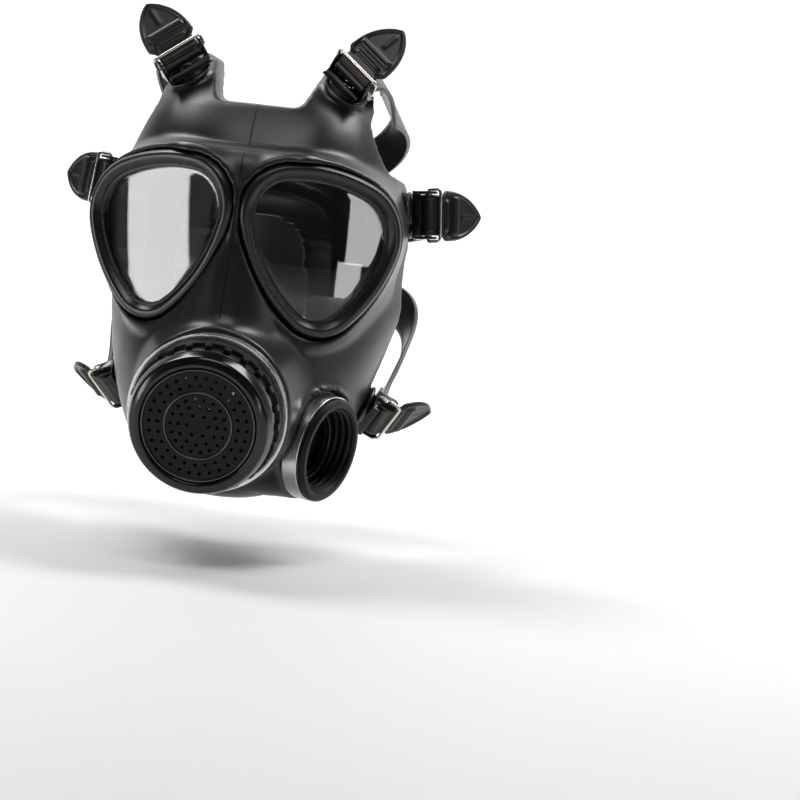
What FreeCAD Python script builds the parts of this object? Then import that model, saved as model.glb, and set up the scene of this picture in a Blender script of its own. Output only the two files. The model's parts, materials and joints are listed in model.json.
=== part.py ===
"""Full face respirator: a moulded rubber facepiece with two eyepieces, a speech and outlet unit,
one threaded filter connector on the wearer's left cheek and a six-strap head harness.

Frame: X to the wearer's left, Y to the back of the head, Z up. The origin is on the middle plane at
eyepiece height, in the plane of the temple tabs, where the head form sits. Lengths are in millimetres.
"""

import FreeCAD
import Part
import Sketcher
import math
import os

from FreeCAD import Placement, Rotation, Vector

doc = FreeCAD.newDocument("FullFaceRespirator")
sheet = doc.addObject("Spreadsheet::Sheet", "Dims")


class Dim:
    """A length that carries its value and the sheet formula that gives it."""

    def __init__(self, value, text):
        self.value = float(value)
        self.text = text

    def _join(self, other, sign, value):
        right = other.text if isinstance(other, Dim) else repr(float(other))
        return Dim(value, "(" + self.text + " " + sign + " " + right + ")")

    def __add__(self, other):
        return self._join(other, "+", self.value + float(other))

    def __sub__(self, other):
        return self._join(other, "-", self.value - float(other))

    def __mul__(self, other):
        return self._join(other, "*", self.value * float(other))

    def __truediv__(self, other):
        return self._join(other, "/", self.value / float(other))

    def __neg__(self):
        return Dim(-self.value, "(0 - " + self.text + ")")

    def __float__(self):
        return self.value


class Sheet:
    """Writes the driving dimensions into the spreadsheet, one aliased cell each."""

    def __init__(self):
        self.row = 0

    def put(self, **cells):
        for alias, value in cells.items():
            self.row += 1
            cell = "B" + str(self.row)
            sheet.set("A" + str(self.row), alias)
            if isinstance(value, Dim):
                sheet.set(cell, "=" + value.text.replace("Dims.", ""))
            else:
                sheet.set(cell, str(value))
            sheet.setAlias(cell, alias)
            setattr(self, alias, Dim(value, "Dims." + alias))


d = Sheet()

# Facepiece skin. It is a fan of sections about a level axis behind the cheeks.
d.put(
    face_wide=156.0,
    fan_back=45.0,
    fan_drop=-15.0,
    skin_wall=2.6,
    fan_core=15.0,
)
# Each section: its angle above level, its reach, its half width as a share of the face's width,
# and its squareness.
FAN_SHARES = (
    (72.0, 121.0, 0.4551, 3.0),
    (60.0, 122.5, 0.4551, 3.1),
    (48.0, 124.5, 0.4583, 3.2),
    (37.0, 128.0, 0.4615, 3.1),
    (27.0, 128.6, 0.4744, 2.8),
    (17.0, 125.5, 0.4808, 2.35),
    (8.0, 124.5, 0.4872, 2.15),
    (-1.0, 130.0, 0.4936, 1.95),
    (-9.0, 140.5, 0.5, 1.8),
    (-16.5, 151.0, 0.5, 1.8),
    (-24.0, 157.5, 0.4872, 1.95),
    (-32.0, 160.0, 0.4679, 2.15),
    (-40.0, 156.5, 0.4487, 2.3),
    (-48.0, 146.0, 0.4295, 2.4),
    (-56.0, 130.0, 0.4103, 2.45),
    (-66.0, 110.0, 0.391, 2.5),
)
FAN = tuple(
    (angle, reach, share * float(d.face_wide), square) for angle, reach, share, square in FAN_SHARES
)
# Eyepieces. Each outline has three corner arcs joined by wide side arcs.
d.put(
    lens_side=d.face_wide * 0.257,
    lens_front=74.0,
    lens_turn=23.4,
    lens_twist=4.9,
    lens_wide=d.face_wide * 0.5096,
    lens_tall=82.8,
    side_arc=78.0,
    corner_inner=25.0,
    corner_outer=28.0,
    corner_low=22.0,
    outer_drop=7.0,
    inner_drop=1.0,
    rim_wide=8.0,
    rim_deep=6.0,
    rim_round=2.2,
    rim_slope=2.6,
    glass_thick=2.0,
    glass_grip=1.5,
    glass_gap=0.1,
    pod_wall=3.2,
    pod_inset=0.5,
    pod_flange=2.2,
    pod_deep=56.0,
    pod_hollow=42.0,
    pod_lean=-6.5,
)
# Speech and outlet unit, on an axis that leans down from the front of the chin. Its radii all
# follow from the bore of the rubber sleeve.
d.put(
    valve_front=105.0,
    valve_drop=78.0,
    valve_lean=10.0,
    boss_bore=32.3,
    boss_wall=3.0,
    boss_end=6.0,
    seat_gap=0.1,
    band_gauge=0.8,
    front_band=10.0,
    house_back=13.0,
    house_wall=2.4,
    house_step=1.4,
    flange_thick=2.6,
    nose_end=20.0,
    web_back=-2.0,
    web_thick=3.0,
    ring_deep=5.6,
    ring_bevel=0.8,
    notch_wide=5.6,
    notch_deep=2.0,
    notch_start=2.2,
    cover_start=16.2,
    cover_front=28.0,
    cover_round=5.0,
    grille_thick=2.0,
    grille_sink=1.0,
    grille_ledge=1.5,
    seal_thick=1.2,
    foil_thick=0.4,
    clamp_ring_wide=2.4,
    clamp_ring_thick=2.2,
    flap_thick=0.9,
)
d.put(
    boss_radius=d.boss_bore + d.boss_wall,
    flange_radius=d.boss_bore + 2.5,
    nose_radius=d.boss_bore - 1.3,
    ring_radius=d.boss_bore + 2.7,
    cover_radius=d.boss_bore + 1.3,
    cover_lip=d.boss_bore - 4.1,
    grille_radius=d.boss_bore - 5.8,
    seal_inner=d.boss_bore - 3.5,
)
d.put(house_bore=d.nose_radius - d.house_wall)
d.put(window_offset=d.house_bore * 0.4965, window_radius=d.house_bore * 0.3916)
d.put(flap_radius=d.window_radius - 0.6)
RING_NOTCHES = 24
# Each row of holes: its radius as a share of the grille's, its count and its holes' radius.
GRILLE_ROWS = ((0.189, 6, 0.8), (0.34, 12, 0.8), (0.472, 18, 0.8), (0.7, 24, 0.9), (0.85, 30, 0.9))
# Valve seats: the rim round the hole, the hub, the spokes and the flap's stem.
SEAT_HUB = 2.6
SEAT_SPOKE = 1.4
SEAT_STEP = 0.8
SEAT_SPOKES = 3
STEM_RADIUS = 1.0
STEM_GAP = 0.1
STEM_LONG = 3.6
# Filter connector on the wearer's left cheek, for a 40 mm round thread. Its radii follow from the
# thread's crest.
d.put(
    port_front=66.0,
    port_drop=94.0,
    port_turn=67.0,
    port_lean=7.0,
    port_lip_thick=2.8,
    port_band=8.0,
    port_back=18.0,
    thread_crest=19.05,
    thread_deep=1.1,
    thread_floor=13.0,
    thread_lead=1.2,
    floor_thick=2.0,
    washer_thick=1.8,
)
d.put(
    port_bore=d.thread_crest + 4.55,
    thread_root=d.thread_crest + d.thread_deep,
    air_radius=d.thread_crest - 4.55,
    washer_inner=d.thread_crest - 3.05,
)
d.put(port_boss=d.port_bore + 1.4, port_lip=d.port_bore + 1.6)
d.put(port_side=d.port_boss + 29.0)
# Nose cup inside the facepiece.
d.put(
    cup_neck=d.boss_bore - 8.3,
    cup_wall=1.8,
    cup_wide=32.0,
    cup_tall=43.0,
    cup_edge=50.0,
    cup_drop=58.0,
    cup_valve_radius=9.0,
    cup_valve_drop=52.0,
)
# Harness: straps of one width, six buckles and a pad behind the head.
d.put(
    strap_wide=20.0,
    strap_thick=2.2,
    ear_play=0.6,
    button_neck=9.0,
    button_rise=1.0,
    button_radius=11.6,
    button_thick=3.2,
    plate_thick=1.2,
    plate_long=15.0,
    ear_thick=1.2,
    ear_wide=9.0,
    bar_height=6.0,
    bar_radius=1.8,
    bar_gap=0.3,
    guard_height=4.2,
    rivet_radius=1.5,
    rivet_head=2.8,
    rivet_rise=1.0,
    wire_radius=0.8,
    wire_gap=0.08,
    wire_reach=3.0,
    tail_lean=50.0,
    tail_long=32.0,
    tail_travel=12.0,
    run_out=9.0,
    head_half=71.0,
    head_deep=92.0,
    head_tall=100.0,
    head_back=36.0,
    pad_wide=96.0,
    pad_tall=92.0,
    pad_rise=4.0,
    pad_thick=2.6,
    pad_lift=2.0,
)
d.put(ear_inner=d.strap_wide / 2 + d.ear_play, tail_wide=d.strap_wide + 5.0)
doc.recompute()

# Anchors on the wearer's left side: fan angle of the button, the strap's landing on the pad
# (side, height), and the place half way round the head that the strap passes (side, back, height).
ANCHORS = (
    ("top", 49.5, (22.0, 38.0), (52.0, 40.0, 62.0)),
    ("temple", 39.0, (38.0, 8.0), (74.0, 55.0, 17.0)),
    ("lower", -53.0, (26.0, -27.0), (74.0, 50.0, -42.0)),
)
TOP_ANCHOR_SIDE = 37.5
ANCHOR_REACH = {"temple": 55.0, "lower": 77.0}
# Share of the strap's chord over which it leaves the buckle straight.
STRAP_LEAD = 0.22

made = []


# ---------------------------------------------------------------- plain helpers


def rad(angle):
    return math.radians(float(angle))


def axes_placement(origin, x_axis, z_axis):
    """A placement whose local X and Z point along the given world directions."""
    z = Vector(z_axis).normalize()
    y = z.cross(Vector(x_axis)).normalize()
    x = y.cross(z)
    matrix = FreeCAD.Matrix(
        x.x, y.x, z.x, origin.x,
        x.y, y.y, z.y, origin.y,
        x.z, y.z, z.z, origin.z,
        0, 0, 0, 1,
    )
    return Placement(matrix)


def keep(obj, label):
    """Names a finished sub-part and puts it on the list that is written out."""
    obj.Label = label
    made.append(obj)
    return obj


def feature(label, shape, placement=None):
    """A sub-part whose shape is set directly."""
    obj = doc.addObject("Part::Feature", label)
    obj.Shape = shape
    if placement is not None:
        obj.Placement = placement.multiply(shape.Placement)
    return keep(obj, label)


def new_body(label, placement):
    body = doc.addObject("PartDesign::Body", label)
    body.Placement = placement
    return keep(body, label)


def new_sketch(body, name, role="XY_Plane"):
    sketch = body.newObject("Sketcher::SketchObject", name)
    plane = next(f for f in body.Origin.OriginFeatures if f.Role == role)
    sketch.AttachmentSupport = [(plane, "")]
    sketch.MapMode = "FlatFace"
    return sketch


def bind(sketch, constraint, dim):
    """Adds a constraint and, when the size comes from the sheet, its formula."""
    index = sketch.addConstraint(constraint)
    if isinstance(dim, Dim):
        sketch.setExpression("Constraints[" + str(index) + "]", dim.text)


def draw_polygon(sketch, corners):
    """A closed outline of straight lines whose corners are bound to the sheet."""
    first = sketch.GeometryCount
    count = len(corners)
    points = [Vector(float(x), float(y), 0) for x, y in corners]
    for i in range(count):
        sketch.addGeometry(Part.LineSegment(points[i], points[(i + 1) % count]), False)
    for i in range(count):
        after = first + (i + 1) % count
        sketch.addConstraint(Sketcher.Constraint("Coincident", first + i, 2, after, 1))
    for i, (x, y) in enumerate(corners):
        line = first + i
        for kind, size, axis in (("DistanceX", x, -2), ("DistanceY", y, -1)):
            if float(size) == 0:
                sketch.addConstraint(Sketcher.Constraint("PointOnObject", line, 1, axis))
            else:
                bind(sketch, Sketcher.Constraint(kind, -1, 1, line, 1, float(size)), size)


def draw_circle(sketch, x, y, radius):
    """A circle whose centre and radius are bound to the sheet."""
    index = sketch.addGeometry(
        Part.Circle(Vector(float(x), float(y), 0), Vector(0, 0, 1), float(radius)), False
    )
    bind(sketch, Sketcher.Constraint("Radius", index, float(radius)), radius)
    for kind, size, axis in (("DistanceX", x, -2), ("DistanceY", y, -1)):
        if float(size) == 0:
            sketch.addConstraint(Sketcher.Constraint("PointOnObject", index, 3, axis))
        else:
            bind(sketch, Sketcher.Constraint(kind, -1, 1, index, 3, float(size)), size)


def turned(label, corners, placement):
    """A body of revolution about its own Z. Corners are (radius, height) pairs."""
    body = new_body(label, placement)
    sketch = new_sketch(body, label + "_profile", "XZ_Plane")
    draw_polygon(sketch, corners)
    turn = body.newObject("PartDesign::Revolution", label + "_turn")
    turn.Profile = sketch
    turn.ReferenceAxis = (sketch, ["V_Axis"])
    turn.Angle = 360
    return body


def padded(body, sketch, name, length, reverse=False):
    pad = body.newObject("PartDesign::Pad", name)
    pad.Profile = sketch
    pad.Length = float(length)
    if isinstance(length, Dim):
        pad.setExpression("Length", length.text)
    pad.Reversed = reverse
    return pad


def pocketed(body, sketch, name):
    """A cut through everything on both sides of its sketch."""
    pocket = body.newObject("PartDesign::Pocket", name)
    pocket.Profile = sketch
    pocket.Midplane = True
    pocket.Type = "ThroughAll"
    return pocket


def cylinder(radius, low, high):
    return Part.makeCylinder(float(radius), float(high) - float(low), Vector(0, 0, float(low)))


def placed(shape, placement):
    copy = shape.copy()
    copy.Placement = placement.multiply(copy.Placement)
    return copy


# ---------------------------------------------------------------- facepiece skin


def fan_values(angle):
    """Reach, half width and squareness of the skin at a fan angle, by smooth interpolation."""
    rows = sorted(FAN)
    angle = min(max(angle, rows[0][0]), rows[-1][0])
    i = max(k for k in range(len(rows) - 1) if rows[k][0] <= angle)
    low, high = rows[i], rows[i + 1]
    before = rows[max(i - 1, 0)]
    after = rows[min(i + 2, len(rows) - 1)]
    span = high[0] - low[0]
    share = (angle - low[0]) / span
    values = []
    for k in (1, 2, 3):
        slope_low = (high[k] - before[k]) / (high[0] - before[0]) * span
        slope_high = (after[k] - low[k]) / (after[0] - low[0]) * span
        s2, s3 = share**2, share**3
        values.append(
            low[k] * (2 * s3 - 3 * s2 + 1)
            + slope_low * (s3 - 2 * s2 + share)
            + high[k] * (3 * s2 - 2 * s3)
            + slope_high * (s3 - s2)
        )
    return values


def fan_point(angle, distance, side):
    """A world point from its fan angle, distance from the fan's axis, and side."""
    return Vector(
        side,
        float(d.fan_back) - distance * math.cos(rad(angle)),
        float(d.fan_drop) + distance * math.sin(rad(angle)),
    )


def skin_by_side(angle, side):
    """The skin's outer point at a fan angle and a side."""
    reach, half, square = fan_values(angle)
    share = (1 - (abs(side) / half) ** square) ** (1 / square)
    return fan_point(angle, reach * share, side)


def skin_by_distance(angle, distance, sign=1):
    """The skin's outer point at a fan angle and a distance from the fan's axis."""
    reach, half, square = fan_values(angle)
    share = (1 - (distance / reach) ** square) ** (1 / square)
    return fan_point(angle, distance, sign * half * share)


def skin_section(row, inset):
    """One closed section of the skin, drawn in its fan plane."""
    angle, reach, half, square = row
    reach, half = reach - inset, half - inset
    core = float(d.fan_core)
    last = math.acos((core / reach) ** (square / 2))
    steps = 12
    side_points = []
    for k in range(1, steps + 1):
        turn = last * k / steps
        distance = reach * math.cos(turn) ** (2 / square)
        side = half * math.sin(turn) ** (2 / square)
        side_points.append((distance, side))
    points = [fan_point(angle, far, -side) for far, side in reversed(side_points)]
    points.append(fan_point(angle, reach, 0))
    points += [fan_point(angle, far, side) for far, side in side_points]
    curve = Part.BSplineCurve()
    curve.interpolate(points)
    return Part.Wire([curve.toShape(), Part.makeLine(points[-1], points[0])])


def skin_solid(inset):
    return Part.makeLoft([skin_section(row, inset) for row in FAN], True, False)


# ---------------------------------------------------------------- eyepiece outline


def lens_circles(sign, inset):
    """The three corner circles of an eyepiece outline, pulled in by inset."""
    wide, tall = float(d.lens_wide) / 2, float(d.lens_tall) / 2
    r_in, r_out, r_low = float(d.corner_inner), float(d.corner_outer), float(d.corner_low)
    return (
        (Vector(sign * (r_in - wide), tall - r_in - float(d.inner_drop), 0), r_in - inset),
        (Vector(sign * (wide - r_out), tall - r_out - float(d.outer_drop), 0), r_out - inset),
        (Vector(0, r_low - tall, 0), r_low - inset),
    )


def side_centre(a, ra, b, rb, big, inside):
    """Centre of the wide arc that touches two corner circles from outside."""
    da, db = big - ra, big - rb
    gap = b - a
    length = gap.Length
    along = (da**2 - db**2 + length**2) / (2 * length)
    off = math.sqrt(da**2 - along**2)
    ahead = gap * (1 / length)
    across = Vector(-ahead.y, ahead.x, 0)
    base = a + ahead * along
    return min((base + across * off, base - across * off), key=lambda p: (p - inside).Length)


def lens_wire(sign, inset, height=0.0):
    """The eyepiece outline as six tangent arcs in the eyepiece's own plane."""
    circles = lens_circles(sign, inset)
    middle = (circles[0][0] + circles[1][0] + circles[2][0]) * (1 / 3)
    big = float(d.side_arc) - inset
    centres, touches = [], []
    for i in range(3):
        (a, ra), (b, rb) = circles[i], circles[(i + 1) % 3]
        q = side_centre(a, ra, b, rb, big, middle)
        centres.append(q)
        touches.append((q + (a - q).normalize() * big, q + (b - q).normalize() * big))
    edges = []
    up = Vector(0, 0, height)
    for i in range(3):
        start, end = touches[i]
        mid = (start + end) * 0.5
        crown = centres[i] + (mid - centres[i]).normalize() * big
        edges.append(Part.Arc(start + up, crown + up, end + up).toShape())
        corner, radius = circles[(i + 1) % 3]
        nxt = touches[(i + 1) % 3][0]
        half_way = ((end - corner).normalize() + (nxt - corner).normalize()).normalize()
        edges.append(Part.Arc(end + up, corner + half_way * radius + up, nxt + up).toShape())
    return Part.Wire(edges)


def lens_placement(sign):
    """The eyepiece frame: Z out through the glass, X towards the wearer's left."""
    turn, twist = rad(d.lens_turn), rad(d.lens_twist)
    out = Vector(sign * math.sin(turn), -math.cos(turn), 0)
    across = Vector(math.cos(turn), sign * math.sin(turn), 0)
    up = Vector(0, 0, 1)
    x_axis = across * math.cos(twist) + up * (sign * math.sin(twist))
    centre = Vector(sign * float(d.lens_side), -float(d.lens_front), 0)
    return axes_placement(centre, x_axis, out)


def lens_slab(sign, inset, low, high):
    """A straight slab of the eyepiece outline between two heights, in the eyepiece frame."""
    face = Part.Face(lens_wire(sign, inset, low))
    return face.extrude(Vector(0, 0, high - low))


def pod_slab(sign, inset, top, deep):
    """The eyepiece's tube through the skin, run straight back with a slight lean inwards."""
    face = Part.Face(lens_wire(sign, inset, top))
    world = placed(face, lens_placement(sign))
    return world.extrude(Vector(sign * float(d.pod_lean), deep, 0))


# ---------------------------------------------------------------- frames of the units

valve_axis = Vector(0, -math.cos(rad(d.valve_lean)), -math.sin(rad(d.valve_lean)))
valve_place = axes_placement(
    Vector(0, -float(d.valve_front), -float(d.valve_drop)), Vector(1, 0, 0), valve_axis
)
port_axis = Vector(
    math.sin(rad(d.port_turn)) * math.cos(rad(d.port_lean)),
    -math.cos(rad(d.port_turn)) * math.cos(rad(d.port_lean)),
    -math.sin(rad(d.port_lean)),
)
port_place = axes_placement(
    Vector(float(d.port_side), -float(d.port_front), -float(d.port_drop)),
    Vector(0, 1, 0),
    port_axis,
)


def head_level(point):
    """1 on the head form that the harness lies on, above 1 outside it."""
    return math.sqrt(
        (point.x / float(d.head_half)) ** 2
        + ((point.y - float(d.head_back)) / float(d.head_deep)) ** 2
        + (point.z / float(d.head_tall)) ** 2
    )


def head_normal(point):
    return Vector(
        point.x / float(d.head_half) ** 2,
        (point.y - float(d.head_back)) / float(d.head_deep) ** 2,
        point.z / float(d.head_tall) ** 2,
    ).normalize()


def on_head(point, lift):
    """Moves a point out along its ray until it is at least lift off the head form."""
    centre = Vector(0, float(d.head_back), 0)
    ray = point - centre
    level = head_level(point)
    wanted = 1 + lift / (ray.Length / level)
    return centre + ray * max(1.0, wanted / level)


def anchor_frame(name, sign):
    """Button place on the skin: local Z out, local X along the strap towards the pad."""
    _, angle, _, way = next(a for a in ANCHORS if a[0] == name)
    step = 0.5

    def at(da, ds):
        if name == "top":
            return skin_by_side(angle + da, TOP_ANCHOR_SIDE + ds)
        return skin_by_distance(angle + da, ANCHOR_REACH[name] + ds)

    here = at(0, 0)
    normal = (at(step, 0) - at(-step, 0)).cross(at(0, step) - at(0, -step)).normalize()
    if normal.x < 0:
        normal = normal * -1
    along = Vector(*way) - here
    along = (along - normal * along.dot(normal)).normalize()
    if sign < 0:
        here, normal, along = (Vector(-v.x, v.y, v.z) for v in (here, normal, along))
    return here, normal, along


def pad_landing(side, height):
    """A point on the pad's middle surface, behind the head."""
    share = (side / float(d.head_half)) ** 2 + (height / float(d.head_tall)) ** 2
    back = float(d.head_back) + float(d.head_deep) * math.sqrt(1 - share)
    lift = float(d.pad_lift) + float(d.pad_thick) / 2
    return on_head(Vector(side, back, height), lift)


def anchor_placement(name, sign):
    here, normal, along = anchor_frame(name, sign)
    return axes_placement(here, along, normal)


# ---------------------------------------------------------------- facepiece

# Back edge of the rubber from the side: forehead tab, scallop, temple tab, cheek, lower tab and chin.
EDGE_SIDE = (
    (-9.0, 96.0),
    (-9.5, 80.0),
    (-20.0, 68.5),
    (-31.0, 60.0),
    (-33.5, 50.0),
    (-27.0, 40.5),
    (-10.0, 37.0),
    (6.0, 34.0),
    (13.5, 20.0),
    (8.5, 6.5),
    (3.5, -8.0),
    (3.0, -30.0),
    (-2.0, -50.0),
    (0.5, -62.0),
    (9.0, -70.0),
    (9.5, -82.0),
    (0.0, -91.0),
    (-12.0, -100.0),
    (-22.0, -112.0),
    (-27.0, -126.0),
)
# Top edge of the rubber from the front, wearer's left half: notch floor, notch side, tab and shoulder.
NOTCH_HALF = 19.5
NOTCH_FLOOR = 65.5
TAB_TOP = 85.0
TAB_INNER = 26.0
EDGE_FRONT = ((38.0, 90.5), (47.0, 86.0), (52.0, 77.0), (56.0, 66.0), (70.0, 58.0))


def side_trim():
    """Everything in front of the back edge, as one thick plate across the face."""
    points = [Vector(-120, y, z) for y, z in EDGE_SIDE]
    curve = Part.BSplineCurve()
    curve.interpolate(points)
    low = points[-1] + Vector(0, 0, -20)
    high = Vector(-120, points[0].y, 130)
    ring = [points[-1], low, Vector(-120, -160, low.z), Vector(-120, -160, high.z), high, points[0]]
    edges = [curve.toShape()] + [Part.makeLine(a, b) for a, b in zip(ring, ring[1:])]
    return Part.Face(Part.Wire(edges)).extrude(Vector(240, 0, 0))


def front_trim():
    """Everything above the notch and the forehead tabs, as a plate across the top."""
    notch = Vector(NOTCH_HALF, -160, NOTCH_FLOOR)
    corner = Vector(TAB_INNER, -160, TAB_TOP)
    outer = [Vector(x, -160, z) for x, z in EDGE_FRONT]
    curve = Part.BSplineCurve()
    curve.interpolate([corner] + outer)
    ring = [outer[-1], Vector(120, -160, 58), Vector(120, -160, 150), Vector(0, -160, 150)]
    floor = Vector(0, -160, NOTCH_FLOOR)
    edges = [Part.makeLine(floor, notch), Part.makeLine(notch, corner), curve.toShape()]
    edges += [Part.makeLine(a, b) for a, b in zip(ring, ring[1:])]
    edges.append(Part.makeLine(ring[-1], floor))
    half = Part.Face(Part.Wire(edges)).extrude(Vector(0, 220, 0))
    return half.fuse(half.mirror(Vector(0, 0, 0), Vector(1, 0, 0)))


def band_relief():
    """Room round the connector's band, clear of the cheek."""
    low = -(float(d.port_lip_thick) + 1.0 + float(d.port_band))
    wide = float(d.port_boss) + float(d.band_gauge) + 1.0
    return cylinder(wide, low, 12).cut(cylinder(d.port_boss, low - 1, 13))


def build_facepiece():
    wall = float(d.skin_wall)
    outer = [skin_solid(0.0)]
    inner = [skin_solid(wall)]
    recess = []
    for sign in (1, -1):
        inset = float(d.pod_inset)
        seat = -float(d.rim_deep)
        recess.append(placed(lens_slab(sign, -1.5, seat, 30.0), lens_placement(sign)))
        relief = placed(lens_slab(sign, -1.5 - wall, seat - wall, 30.0), lens_placement(sign))
        inner[0] = inner[0].cut(relief)
        outer.append(pod_slab(sign, inset, seat, float(d.pod_deep)))
        hollow_top = seat - float(d.pod_flange)
        inner.append(pod_slab(sign, inset + float(d.pod_wall), hollow_top, float(d.pod_hollow)))
        opening = placed(
            lens_slab(sign, float(d.rim_wide), -20.0, 5.0), lens_placement(sign)
        )
        inner.append(opening)
        for name, *_ in ANCHORS:
            boss = cylinder(d.button_neck, -6.0, d.button_rise)
            outer.append(placed(boss, anchor_placement(name, sign)))
    outer.append(placed(cylinder(d.boss_radius, -32, d.boss_end), valve_place))
    inner.append(placed(cylinder(d.boss_bore, -40, 20), valve_place))
    outer.append(placed(cylinder(d.port_boss, -24, -d.port_lip_thick), port_place))
    inner.append(placed(cylinder(d.port_bore, -32, 10), port_place))
    recess.append(placed(band_relief(), port_place))
    body = outer[0].fuse(outer[1:])
    body = body.common(side_trim())
    body = body.cut([front_trim()] + recess)
    body = body.cut(inner)
    solid = max(body.Solids, key=lambda s: s.Volume)
    feature("facepiece", solid)


# ---------------------------------------------------------------- eyepieces


def build_eyepiece(sign, side_name):
    place = lens_placement(sign)
    top = 0.0
    seat = -float(d.rim_deep)
    glass_top = seat + float(d.glass_thick)
    grip = float(d.rim_wide) - float(d.glass_grip)
    gap = float(d.glass_gap)
    glass = lens_slab(sign, grip, seat, glass_top)
    feature("lens_" + side_name, glass, place)

    crown = lens_slab(sign, 0.0, seat, top)
    crown = crown.cut(lens_slab(sign, float(d.rim_wide), seat - 1, top + 1))
    crown = crown.cut(lens_slab(sign, grip - gap, seat - 1, glass_top + gap))
    # A slope runs down from the crest of the rim to the glass.
    slope = float(d.rim_slope)
    high = Part.Face(lens_wire(sign, float(d.rim_wide) - 2 * slope, top + 0.01))
    low = Part.Face(lens_wire(sign, float(d.rim_wide) + 0.4, top - slope))
    funnel = Part.makeLoft([high.OuterWire, low.OuterWire], True, True)
    crown = crown.cut(funnel)
    edges = [e for e in crown.Edges if abs(e.CenterOfMass.z - top) < 0.02 and e.BoundBox.ZLength < 0.02]
    rounded = [e for e in edges if is_on_outline(e, sign)]
    crown = crown.makeFillet(float(d.rim_round), rounded)
    feature("lens_rim_" + side_name, crown, place)


def is_on_outline(edge, sign):
    """True for an edge that lies on the rim's outer outline."""
    spot = edge.valueAt((edge.FirstParameter + edge.LastParameter) / 2)
    return lens_wire(sign, 0.0, spot.z).distToShape(Part.Vertex(spot))[0] < 0.01


# ---------------------------------------------------------------- speech and outlet unit


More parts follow.
